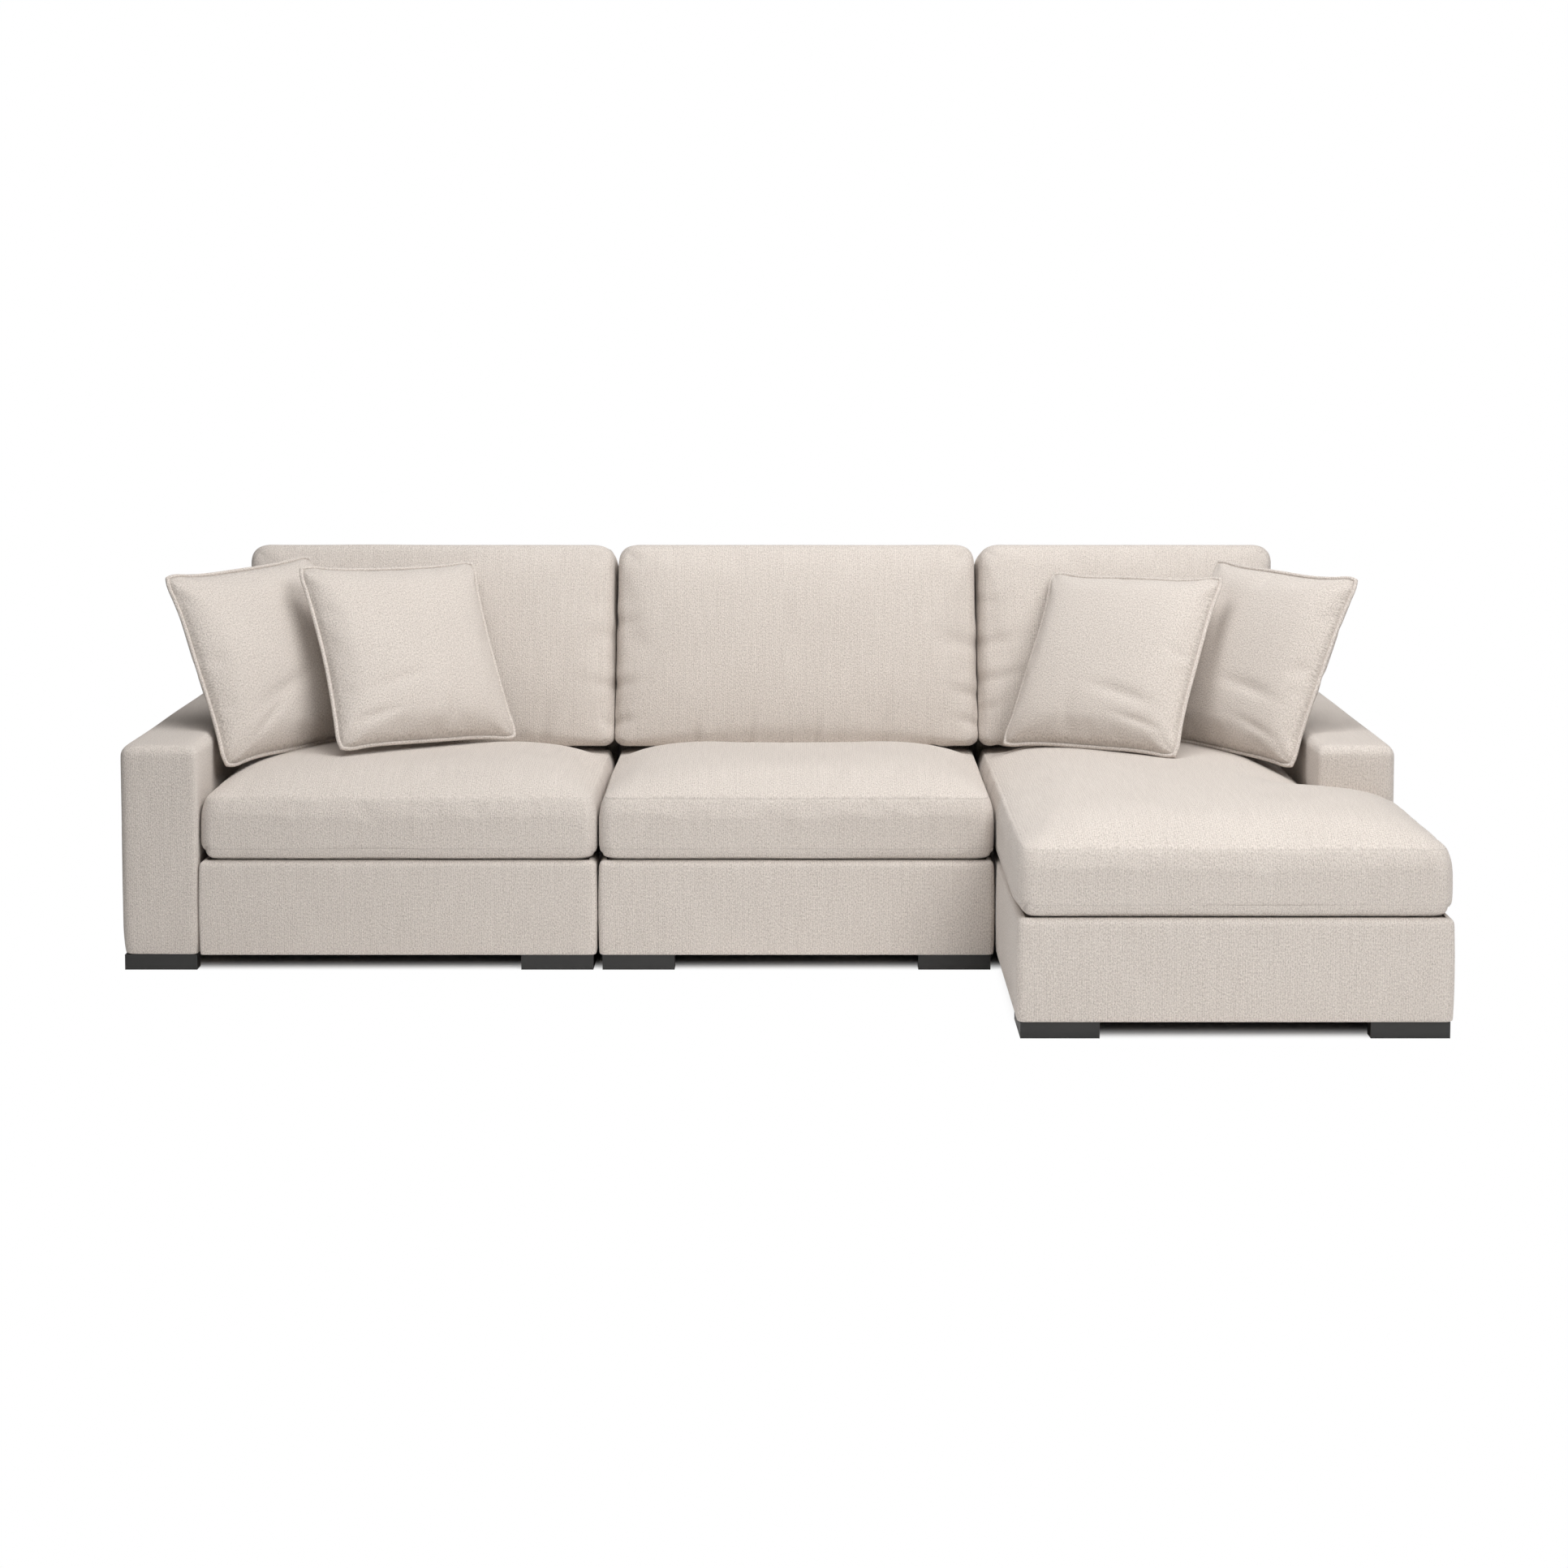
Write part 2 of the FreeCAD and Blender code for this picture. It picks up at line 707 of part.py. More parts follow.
def back_form(name, shrink):
    """A back cushion: leaning, boxed, with a crowned front and a level underside.
    On an arm's side it widens upwards and passes over the arm."""
    thick = size("back_thick")
    sine = math.sin(recline)
    cosine = math.cos(recline)
    low = size("back_bottom")
    foot_y = front_y + size("sit_depth")

    def lift(w):
        return lambda p: vector(p.x, foot_y + p.y * sine + (thick - w) * cosine,
                                low + p.y * cosine - (thick - w) * sine)
    x_lo, x_hi = (num(value) for value in MODULES[name])
    clear_lo, lap_lo = (ARM_CLEAR, ARM_LAP) if name == "left" else (0, 0)
    clear_hi, lap_hi = (ARM_CLEAR, ARM_LAP) if name == "chaise" else (0, 0)
    widest = max(share for share, inset in BACK_LEVELS if inset == 0)
    top_v = (size("back_top") - low + thick * (1 - widest) * sine) / cosine
    wires = []
    for share, drawn in BACK_LEVELS:
        w = shrink + (thick - 2 * shrink) * share
        inset = drawn + shrink
        bottom = (thick - w) * sine / cosine + min(drawn, 60) * 0.5 + shrink
        crest = top_v - inset
        corners = [
            (x_lo + clear_lo + inset, bottom), (x_hi - clear_hi - inset, bottom),
            (x_hi + lap_hi - inset, crest), (x_lo - lap_lo + inset, crest),
        ]
        corner = 38.0 + 0.3 * inset
        wires.append(outline(corners, corner, 5.0, lift(w)))
    return loft(wires)


# Throw pillows: middle in x, distance behind the sofa's front, height, then turn, lean and roll
PILLOWS = {
    "outer_left_pillow": (-1252, 432, 706, 53.7, -23.0, -1.7),
    "inner_left_pillow": (-900, 475, 712, 36.1, -29.6, 0.9),
    "inner_right_pillow": (904, 456, 694, -37.0, -32.3, -2.1),
    "outer_right_pillow": (1259, 406, 704, -54.5, -25.0, 1.1),
}
# Half-thickness share, inset of the outline, draw of its sides and its corner radius
PILLOW_LEVELS = [
    (0.0, 0.0, 1.0, 10.0), (0.16, 7.0, 0.9, 14.0), (0.34, 20.0, 0.75, 22.0), (0.54, 40.0, 0.5, 40.0),
    (0.74, 70.0, 0.25, 62.0), (0.9, 112.0, 0.1, 80.0), (1.0, 170.0, 0.05, 60.0),
]


def pillow_turn(name):
    """The pillow's attitude: turned about the upright, then leant back, then rolled."""
    turn, lean, roll = PILLOWS[name][3:]
    rotation = FreeCAD.Rotation(vector(0, 0, 1), turn)
    rotation = rotation.multiply(FreeCAD.Rotation(vector(1, 0, 0), lean))
    return rotation.multiply(FreeCAD.Rotation(vector(0, 1, 0), roll))


def pillow_placement(name):
    x, depth, z = PILLOWS[name][:3]
    return FreeCAD.Placement(vector(x, front_y + depth, z), pillow_turn(name))


def square(half):
    return [(-half, -half), (half, -half), (half, half), (-half, half)]


def pillow_form(shrink):
    """A knife-edged pillow: the thickness grows from the seam inwards, on both faces."""
    half = size("pillow_side") / 2 - size("piping_radius") - 0.4 - shrink
    wires = []
    levels = [(-share, *rest) for share, *rest in reversed(PILLOW_LEVELS[1:])] + PILLOW_LEVELS
    for share, inset, drawn, radius in levels:
        y = share * (size("pillow_half") - shrink)
        corners = square(half - inset)
        wires.append(outline(corners, radius, size("pillow_draw") * drawn, lambda p, y=y: vector(p.x, y, p.y)))
    return loft(wires)


def piping_path(half, draw, radius):
    """The pillow's edge as tangent arcs: each side bows inwards by draw, each corner is round."""
    swing = 2 * math.atan(2 * draw / (2 * half - 2 * radius))
    gap = 2 * radius * math.sin(math.pi / 4 + swing) * math.sqrt(0.5)
    near = half - gap
    sides = []
    for quarter in range(4):
        turn = FreeCAD.Rotation(vector(0, 1, 0), -90 * quarter)
        start = turn.multVec(vector(-near, 0, -half))
        middle = turn.multVec(vector(0, 0, -half + near * math.tan(swing / 2)))
        end = turn.multVec(vector(near, 0, -half))
        sides.append((start, middle, end))
    edges = []
    for quarter in range(4):
        start, middle, end = sides[quarter]
        edges.append(Part.Arc(start, middle, end).toShape())
        following = sides[(quarter + 1) % 4][0]
        chord = following - end
        outward = vector(end.x + following.x, 0, end.z + following.z).normalize()
        bulge = radius - radius * math.cos(math.pi / 4 + swing)
        apex = (end + following) * 0.5 + outward * bulge
        edges.append(Part.Arc(end, apex, following).toShape())
        if chord.Length < radius:
            raise RuntimeError("the piping's corner is too tight")
    return Part.Wire(edges)


def piping():
    """The welt cord sewn into the pillow's edge seam."""
    corner = 14.0
    path = piping_path(size("pillow_side") / 2, size("pillow_draw"), corner)
    first = path.Edges[0]
    start = first.valueAt(first.FirstParameter)
    direction = first.tangentAt(first.FirstParameter)
    circle = Part.Wire(Part.makeCircle(size("piping_radius"), start, direction))
    return path.makePipeShell([circle], True, False)


def soft(label, shape, placement=None):
    """A sub-part with a shape made here, placed afterwards."""
    obj = doc.addObject("Part::Feature", "soft")
    obj.Shape = shape
    if placement:
        obj.Placement = placement
    return keep(obj, label)


# Each module's fixed pieces
for name, corners in FOOT_CORNERS.items():
    keep(base_frame(name, corners), name + "_base_frame")
    keep(seat_springs(name), name + "_seat_springs")
    keep(seat_deck(name), name + "_seat_deck")
    keep(base_cover(name), name + "_base_cover")
    keep(dust_cover(name), name + "_dust_cover")
    keep(back_frame(name), name + "_back_frame")
    keep(back_cover(name), name + "_back_cover")
    keep(group([foot(*corner) for corner in corners]), name + "_feet")
    keep(screws(corners), name + "_foot_screws")

# The arms, left and right
left_outer = [corner for corner in FOOT_CORNERS["left"] if corner[0] > 0]
chaise_outer = [corner for corner in FOOT_CORNERS["chaise"] if corner[0] < 0 and corner[1] < 0]
keep(arm_frame(LEFT_LO, left_outer), "left_arm_frame")
keep(arm_cover(LEFT_LO), "left_arm_cover")
keep(arm_frame(CHAISE_SEAT_HI, chaise_outer), "right_arm_frame")
keep(arm_cover(CHAISE_SEAT_HI), "right_arm_cover")

# The connectors between the modules
channels = []
for depth in CONNECTOR_DEPTHS:
    channels.append(connector("channel", MIDDLE_LO, -1, depth))
    channels.append(connector("channel", MIDDLE_HI, 1, depth))
keep(group(channels), "middle_connector_channels")
keep(group([connector("hook", MIDDLE_LO, -1, depth) for depth in CONNECTOR_DEPTHS]), "left_connector_hooks")
keep(group([connector("hook", MIDDLE_HI, 1, depth) for depth in CONNECTOR_DEPTHS]), "chaise_connector_hooks")

# The loose cushions: a cloth cover round a foam core
cloth = size("cover_cloth")
core = cloth + size("core_clear")
for name in MODULES:
    soft(name + "_seat_cover", shell_of(seat_form(name, 0), seat_form(name, cloth)))
    soft(name + "_seat_core", seat_form(name, core))
    soft(name + "_back_cushion_cover", shell_of(back_form(name, 0), back_form(name, cloth)))
    soft(name + "_back_cushion_core", back_form(name, core))

# The throw pillows
for name in PILLOWS:
    where = pillow_placement(name)
    soft(name + "_cover", shell_of(pillow_form(0), pillow_form(cloth / 2)), where)
    soft(name + "_insert", pillow_form(cloth), where)
    soft(name + "_piping", piping(), where)

doc.recompute()

# Nothing is written unless every object and every shape is sound
for obj in doc.Objects:
    if "Invalid" in obj.State or "Error" in obj.State:
        raise RuntimeError("%s %s is not sound: %s" % (obj.Name, obj.Label, obj.State))
for obj in nodes:
    if obj.Shape.isNull() or not obj.Shape.isValid():
        raise RuntimeError("%s has no valid shape" % obj.Label)

os.makedirs("parts", exist_ok=True)
for obj in nodes:
    obj.Shape.exportStep(os.path.join("parts", obj.Label + ".step"))
whole = Part.makeCompound([obj.Shape for obj in nodes]).BoundBox
print(len(nodes), "sub-parts, box", whole)
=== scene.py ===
import json
import math

import bmesh
import bpy
import numpy as np
from mathutils import Matrix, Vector
from bpy.props import FloatProperty, FloatVectorProperty, PointerProperty


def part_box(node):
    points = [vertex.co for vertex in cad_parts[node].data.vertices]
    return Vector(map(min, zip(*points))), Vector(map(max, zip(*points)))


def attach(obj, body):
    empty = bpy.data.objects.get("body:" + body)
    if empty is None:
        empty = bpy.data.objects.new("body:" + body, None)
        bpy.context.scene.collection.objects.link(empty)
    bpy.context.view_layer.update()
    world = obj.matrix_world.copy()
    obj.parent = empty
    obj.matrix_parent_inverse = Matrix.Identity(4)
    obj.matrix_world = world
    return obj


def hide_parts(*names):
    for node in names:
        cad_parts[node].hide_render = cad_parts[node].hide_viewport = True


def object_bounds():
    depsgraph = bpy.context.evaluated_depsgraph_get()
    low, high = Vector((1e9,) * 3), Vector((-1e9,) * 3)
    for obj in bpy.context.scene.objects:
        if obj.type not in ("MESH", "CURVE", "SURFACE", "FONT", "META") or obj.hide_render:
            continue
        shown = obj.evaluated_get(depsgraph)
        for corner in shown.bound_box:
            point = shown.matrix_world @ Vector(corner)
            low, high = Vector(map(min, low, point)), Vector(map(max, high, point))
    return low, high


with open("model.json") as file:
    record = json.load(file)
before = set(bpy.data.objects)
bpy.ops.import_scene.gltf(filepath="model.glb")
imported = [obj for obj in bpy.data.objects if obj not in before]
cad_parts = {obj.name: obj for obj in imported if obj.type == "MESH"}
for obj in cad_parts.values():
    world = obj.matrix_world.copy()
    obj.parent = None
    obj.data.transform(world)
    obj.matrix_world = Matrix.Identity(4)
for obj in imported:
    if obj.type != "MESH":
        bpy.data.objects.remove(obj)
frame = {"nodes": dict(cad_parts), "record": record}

bl_info = {
    "name": "Sectional sofa with chaise",
    "version": (1, 0, 0),
    "blender": (4, 5, 0),
    "location": "3D View > Sidebar > Sofa",
    "description": "Dresses the packed frame of a three-module sectional sofa in its upholstery",
    "category": "Object",
}

CAD_BOX = [list(corner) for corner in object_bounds()]
MODULES = ("left", "middle", "chaise")
PILLOWS = ("outer_left_pillow", "inner_left_pillow", "inner_right_pillow", "outer_right_pillow")
# How far the backs and their cushions lean, and how deep the seats are in front of them
LEAN = math.radians(15)
SEAT_DEPTH = 0.620
# The gap between the chaise's base and the arm
ARM_GAP = 0.001


# The user's settings

class SofaSizes(bpy.types.PropertyGroup):
    """Sizes of the upholstery that the frame leaves open."""
    lattice: FloatProperty(
        name="Cushion lattice", description="Mesh pitch of a cushion before it is subdivided",
        default=0.02, unit="LENGTH")
    seam: FloatProperty(
        name="Seam depth", description="How deep a sewn seam sits in the cloth",
        default=0.0016, unit="LENGTH")
    crown: FloatProperty(
        name="Seat crown", description="How far the middle of a seat stands above its upper seam",
        default=0.062, unit="LENGTH")
    swell: FloatProperty(
        name="Swell", description="The most that a point of a cushion moves while it is inflated",
        default=0.010, unit="LENGTH")
    welt: FloatProperty(
        name="Welt radius", description="Radius of the piping round a throw pillow",
        default=0.0051, unit="LENGTH")
    rib: FloatProperty(
        name="Rib pitch", description="Distance between the ribs of the chenille",
        default=0.0052, unit="LENGTH")


class SofaColours(bpy.types.PropertyGroup):
    """Finishes, as linear colours."""
    cloth_light: FloatVectorProperty(
        name="Cloth, raised yarn", description="Colour of the raised yarn of the upholstery",
        default=(0.84, 0.778, 0.722), subtype="COLOR")
    cloth_dark: FloatVectorProperty(
        name="Cloth, ground", description="Colour between the ribs of the upholstery",
        default=(0.50, 0.445, 0.405), subtype="COLOR")
    deck: FloatVectorProperty(
        name="Decking", description="Colour of the plain cloth under the seat cushions",
        default=(0.42, 0.37, 0.32), subtype="COLOR")
    dust: FloatVectorProperty(
        name="Dust cloth", description="Colour of the cloth under the frame",
        default=(0.022, 0.022, 0.023), subtype="COLOR")
    feet: FloatVectorProperty(
        name="Feet", description="Colour of the stained feet",
        default=(0.032, 0.032, 0.032), subtype="COLOR")
    wood: FloatVectorProperty(
        name="Frame wood", description="Colour of the raw frame timber",
        default=(0.55, 0.38, 0.23), subtype="COLOR")
    steel: FloatVectorProperty(
        name="Spring steel", description="Colour of the oiled springs",
        default=(0.12, 0.12, 0.125), subtype="COLOR")
    zinc: FloatVectorProperty(
        name="Zinc plate", description="Colour of the plated screws and connectors",
        default=(0.56, 0.57, 0.59), subtype="COLOR")
    floor: FloatVectorProperty(
        name="Floor", description="Colour of the studio floor",
        default=(0.96, 0.96, 0.96), subtype="COLOR")
    sheen: FloatProperty(
        name="Cloth sheen", description="How much the pile brightens at grazing angles",
        default=0.22, min=0.0, max=1.0, subtype="FACTOR")


# Meshes

def box_of(node):
    """Lowest and highest corner of a CAD node, as arrays."""
    low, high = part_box(node)
    return np.array(low), np.array(high)


def seat_front():
    """Where the front of the two plain modules' seats lies."""
    return box_of("left_seat_cover")[0][1]


def graded(low, high, pitch, edge=(0.0, 0.004, 0.010, 0.018, 0.030)):
    """Lattice lines from low to high: the given offsets in from both ends, and between them
    lines evenly about a pitch apart."""
    first = low + edge[-1]
    last = high - edge[-1]
    count = max(1, round((last - first) / pitch))
    inner = np.linspace(first, last, count + 1)
    return np.concatenate([low + np.array(edge[:-1]), inner, high - np.array(edge[-2::-1])])


def skin(solid):
    """The outer faces of a block of cells. solid is a boolean array, True for each filled cell.
    A cell's face is kept where the next cell along that axis is empty, and winds outwards.
    Gives the lattice points in use, the quads and the axis each quad faces."""
    padded = np.pad(solid, 1)
    quads = []
    axes = []
    for axis in range(3):
        first = (axis + 1) % 3
        second = (axis + 2) % 3
        for step in (1, -1):
            beyond = np.roll(padded, -step, axis)[1:-1, 1:-1, 1:-1]
            cells = np.argwhere(solid & ~beyond)
            quad = np.repeat(cells[:, None, :], 4, axis=1)
            quad[:, :, axis] += step > 0
            corners = np.array([(0, 0), (1, 0), (1, 1), (0, 1)][::step])
            quad[:, :, first] += corners[:, 0]
            quad[:, :, second] += corners[:, 1]
            quads.append(quad)
            axes.append(np.full(len(cells), axis))
    quads = np.concatenate(quads)
    points, index = np.unique(quads.reshape(-1, 3), axis=0, return_inverse=True)
    return points, index.reshape(-1, 4), np.concatenate(axes)


def mesh_object(name, points, quads, uv):
    """A smooth mesh object at the origin from points, quads and one uv pair per quad corner."""
    mesh = bpy.data.meshes.new(name)
    mesh.from_pydata(points.tolist(), [], quads.tolist())
    layer = mesh.uv_layers.new(name="weave")
    layer.data.foreach_set("uv", np.asarray(uv, np.float32).ravel())
    mesh.shade_smooth()
    mesh.update()
    piece = bpy.data.objects.new(name, mesh)
    bpy.context.scene.collection.objects.link(piece)
    return piece


def store(piece, name, values):
    """Keeps numbers on the mesh's points under a name: one each, or three each."""
    kind = "FLOAT_VECTOR" if values.ndim == 2 else "FLOAT"
    field = "vector" if values.ndim == 2 else "value"
    attribute = piece.data.attributes.get(name) or piece.data.attributes.new(name, kind, "POINT")
    attribute.data.foreach_set(field, np.asarray(values, np.float32).ravel())


def read(collection, field):
    """An array of three numbers for each item of a mesh's collection."""
    values = np.zeros(len(collection) * 3, np.float32)
    collection.foreach_get(field, values)
    return values.reshape(-1, 3).astype(float)


def read_points(mesh):
    return read(mesh.vertices, "co")


def finished_surface(piece, levels):
    """Subdivides a piece, and gives its points, their normals and their stored rest places."""
    refine(piece, levels)
    mesh = piece.data
    return read_points(mesh), read(mesh.vertices, "normal"), read(mesh.attributes["rest"].data, "vector")


def write_points(piece, points):
    piece.data.vertices.foreach_set("co", np.asarray(points, np.float32).ravel())
    piece.data.update()


def path_lengths(path):
    """How far round a closed path each of its points lies, and last the whole way round."""
    steps = np.linalg.norm(np.roll(path, -1, axis=0) - path, axis=1)
    return np.concatenate([[0.0], np.cumsum(steps)])


def ring_grid(name, points, across, up):
    """A closed surface from rows and columns of points, both of which join end to end. across and
    up are the uv of the columns and the rows, each with one more value, for the joint."""
    rows, count = points.shape[:2]
    row, column = np.meshgrid(np.arange(rows), np.arange(count), indexing="ij")
    beside = (column + 1) % count
    above = (row + 1) % rows
    quads = np.stack([row * count + column, row * count + beside,
                      above * count + beside, above * count + column], axis=2).reshape(-1, 4)
    corners = ((0, 0), (1, 0), (1, 1), (0, 1))
    uv = np.stack([np.stack([across[column + i], up[row + j]], axis=2) for i, j in corners], axis=2)
    return mesh_object(name, points.reshape(-1, 3), quads, uv.reshape(-1, 2))


def lattice_piece(name, lines, solid):
    """A mesh of the outer faces of a block of cells between the given lattice lines. Its rest
    points, before any shaping, are kept on the mesh, and its uv runs in metres: along the
    first axis and then upwards, or in the plane of the face."""
    index, quads, axes = skin(solid)
    rest = np.stack([lines[axis][index[:, axis]] for axis in range(3)], axis=1)
    corner = rest[quads]
    across = np.where(axes[:, None] == 0, corner[:, :, 1], corner[:, :, 0])
    along = np.where(axes[:, None] == 2, corner[:, :, 1], corner[:, :, 2])
    piece = mesh_object(name, rest, quads, np.stack([across, along], axis=2))
    store(piece, "rest", rest)
    return piece, rest


def refine(piece, levels):
    """Bakes a number of subdivision levels into the mesh."""
    modifier = piece.modifiers.new("smooth", "SUBSURF")
    modifier.levels = levels
    modifier.render_levels = levels
    graph = bpy.context.evaluated_depsgraph_get()
    mesh = bpy.data.meshes.new_from_object(piece.evaluated_get(graph), preserve_all_data_layers=True,
                                           depsgraph=graph)
    piece.modifiers.clear()
    coarse = piece.data
    piece.data = mesh
    bpy.data.meshes.remove(coarse)
    mesh.name = piece.name


def dome(distance, reach):
    """The rise of a stuffed face at a distance from its edge, from 0 to 1:
    one less the square of the share still to go, to the power 0.6."""
    left = 1.0 - np.clip(distance / reach, 0.0, 1.0)
    return (1.0 - left ** 2) ** 0.6


def hump(u, v, low, high, reaches):
    """The product of four domes, one in from each side of a rectangle: low and high in u, then
    low and high in v."""
    return (dome(u - low[0], reaches[0]) * dome(high[0] - u, reaches[1])
            * dome(v - low[1], reaches[2]) * dome(high[1] - v, reaches[3]))


def from_notch(u, v, notch):
    """The distance of a point from the empty quarter of an L-shaped plan."""
    return np.hypot(np.maximum(notch[0] - u, 0), np.maximum(notch[1] - v, 0))


def round_corner(u, v, corner, inward, radius):
    """Turns a sharp corner of a plan into an arc. Seen from the arc's centre, a point at
    (a, b) moves to (a, b) times max(|a|, |b|) / length(a, b), which turns squares to circles."""
    a = (u - corner[0]) * inward[0] - radius
    b = (v - corner[1]) * inward[1] - radius
    square = np.maximum(np.abs(a), np.abs(b))
    length = np.maximum(np.hypot(a, b), 1e-9)
    near = (a < 0) & (b < 0) & (square <= radius * 1.0001)
    scale = np.where(near, square / length, 1.0)
    return corner[0] + inward[0] * (a * scale + radius), corner[1] + inward[1] * (b * scale + radius)


def round_notch(u, v, corner, radius):
    """Fills the inner corner of an L-shaped plan whose empty quarter is +u, +v. The arc's centre
    lies a radius out from the corner, and the move fades out over one and a half radii."""
    a = u - corner[0] - radius
    b = v - corner[1] - radius
    square = np.maximum(np.abs(a), np.abs(b))
    length = np.maximum(np.hypot(a, b), 1e-9)
    fade = np.clip((2.5 * radius - square) / (1.5 * radius), 0.0, 1.0)
    scale = np.where((a <= 1e-9) & (b <= 1e-9), 1.0 + (square / length - 1.0) * fade, 1.0)
    return corner[0] + radius + a * scale, corner[1] + radius + b * scale


def soften(u, v, corner, inward, radii, weight):
    """Rounds an edge as an ellipse. In units of the two radii, seen from the arc's centre, a
    point moves as in round_corner, by the share that weight gives it."""
    a = ((u - corner[0]) * inward[0]) / radii[0] - 1.0
    b = ((v - corner[1]) * inward[1]) / radii[1] - 1.0
    square = np.maximum(np.abs(a), np.abs(b))
    length = np.maximum(np.hypot(a, b), 1e-9)
    near = (a < 0) & (b < 0) & (square <= 1.15)
    scale = np.where(near, 1.0 + (square / length - 1.0) * weight, 1.0)
    return (corner[0] + inward[0] * radii[0] * (a * scale + 1.0),
            corner[1] + inward[1] * radii[1] * (b * scale + 1.0))


def wobble(points, seed, wave=0.22):
    """A slow unevenness from -1 to 1: the mean of six sine waves of random direction and phase,
    each between one and two times the wave length."""
    random = np.random.default_rng(seed)
    directions = random.normal(size=(6, 3))
    directions /= np.linalg.norm(directions, axis=1)[:, None]
    directions *= 2 * math.pi / (wave * random.uniform(1.0, 2.0, size=(6, 1)))
    phases = random.uniform(0, 2 * math.pi, 6)
    return np.sin(points @ directions.T + phases).mean(axis=1)


def groove(distance, width):
    """A seam's cross-section: 1 at the seam, falling as a bell curve to nothing."""
    return np.exp(-(distance / width) ** 2)


def crease(distance, width):
    """A fold's cross-section: a bell curve, with a lower and wider ridge on its far side."""
    return groove(distance, width) - 0.55 * groove(distance - 1.9 * width, 1.3 * width)


# Cloth simulation

def hold(piece, weights):
    """Gives the cloth its pins: one weight from 0 to 1 for each point, in tenths."""
    group = piece.vertex_groups.new(name="held")
    tenths = np.round(weights * 10).astype(int)
    for tenth in np.unique(tenths):
        if tenth > 0:
            group.add(np.nonzero(tenths == tenth)[0].tolist(), float(tenth) / 10, "REPLACE")


def inflate(pieces, pressure, travel, slack=0.0, stiffness=15.0, bending=3.0, frames=20):
    """Fills stitched skins with air for some frames. They are simulated side by side, then
    each point's move is capped at its piece's travel, and the modifier goes."""
    for piece in pieces:
        cloth = piece.modifiers.new("cloth", "CLOTH")
        settings = cloth.settings
        settings.quality = 5
        settings.mass = 0.3
        settings.tension_stiffness = stiffness
        settings.compression_stiffness = stiffness
        settings.shear_stiffness = stiffness / 3
        settings.bending_stiffness = bending
        settings.use_pressure = True
        settings.uniform_pressure_force = pressure
        settings.shrink_min = -slack
        settings.effector_weights.gravity = 0.0
        if piece.vertex_groups:
            settings.vertex_group_mass = "held"
        cloth.collision_settings.use_collision = False
        cloth.point_cache.frame_start = 1
        cloth.point_cache.frame_end = frames
    scene = bpy.context.scene
    for number in range(1, frames + 1):
        scene.frame_set(number)
    graph = bpy.context.evaluated_depsgraph_get()
    swollen = [read_points(piece.evaluated_get(graph).data) for piece in pieces]
    for piece, after in zip(pieces, swollen):
        piece.modifiers.clear()
        piece.vertex_groups.clear()
        before = read_points(piece.data)
        move = after - before
        length = np.linalg.norm(move, axis=1)
        move *= np.minimum(1.0, travel / np.maximum(length, 1e-9))[:, None]
        write_points(piece, before + move)
    scene.frame_set(1)


# Materials

class Graph:
    """The node graph of a new material or world, built by calls that return sockets."""

    def __init__(self, owner):
        owner.use_nodes = True
        self.owner = owner
        self.tree = owner.node_tree
        self.tree.nodes.clear()

    def add(self, kind, values=None, **settings):
        node = self.tree.nodes.new(kind)
        for key, value in settings.items():
            setattr(node, key, value)
        for key, value in (values or {}).items():
            if isinstance(value, bpy.types.NodeSocket):
                self.tree.links.new(value, node.inputs[key])
            else:
                node.inputs[key].default_value = value
        return node

    def math(self, operation, first, second=0.0, third=0.0):
        return self.add("ShaderNodeMath", {0: first, 1: second, 2: third}, operation=operation).outputs[0]

    def vector(self, operation, first, second=(0, 0, 0)):
        return self.add("ShaderNodeVectorMath", {0: first, 1: second}, operation=operation).outputs[0]

    def noise(self, vector, scale, detail=2.0, roughness=0.5):
        values = {"Vector": vector, "Scale": scale, "Detail": detail, "Roughness": roughness}
        return self.add("ShaderNodeTexNoise", values).outputs["Fac"]

    def fleck(self, weave, stretch, scale, detail=2.0, roughness=0.6):
        """Noise on a uv, stretched along the ribs where stretch is small."""
        stretched = self.vector("MULTIPLY", weave, (1.0, stretch, 1.0))
        return self.noise(stretched, scale, detail, roughness)

    def centred(self, value, amount, base):
        """Adds a noise, less its mean of a half and times an amount, to a base."""
        return self.math("MULTIPLY_ADD", self.math("SUBTRACT", value, 0.5), amount, base)

    def mix(self, factor, first, second):
        """Input 0 is the factor, and inputs 6 and 7 are the colours."""
        values = {0: factor}
        for key, value in ((6, first), (7, second)):
            values[key] = value if isinstance(value, bpy.types.NodeSocket) else (*value, 1.0)
        return self.add("ShaderNodeMix", values, data_type="RGBA").outputs[2]

    def shaded(self, colour, relief, strength, depth, **values):
        """The principled shader over a bump, as a finished material."""
        bump = self.add("ShaderNodeBump", {"Strength": strength, "Distance": depth, "Height": relief})
        sockets = {key.replace("_", " "): value for key, value in values.items()}
        sockets.update({"Base Color": colour, "Normal": bump.outputs[0]})
        return self.finish(self.add("ShaderNodeBsdfPrincipled", sockets).outputs[0])

    def finish(self, surface, kind="ShaderNodeOutputMaterial"):
        self.add(kind, {"Surface": surface})
        return self.owner


def tinted(colour, share):
    """A colour with each part multiplied by a share."""
    return tuple(share * value for value in colour)


# Finishes that several pieces share, by name
FINISHES = {}


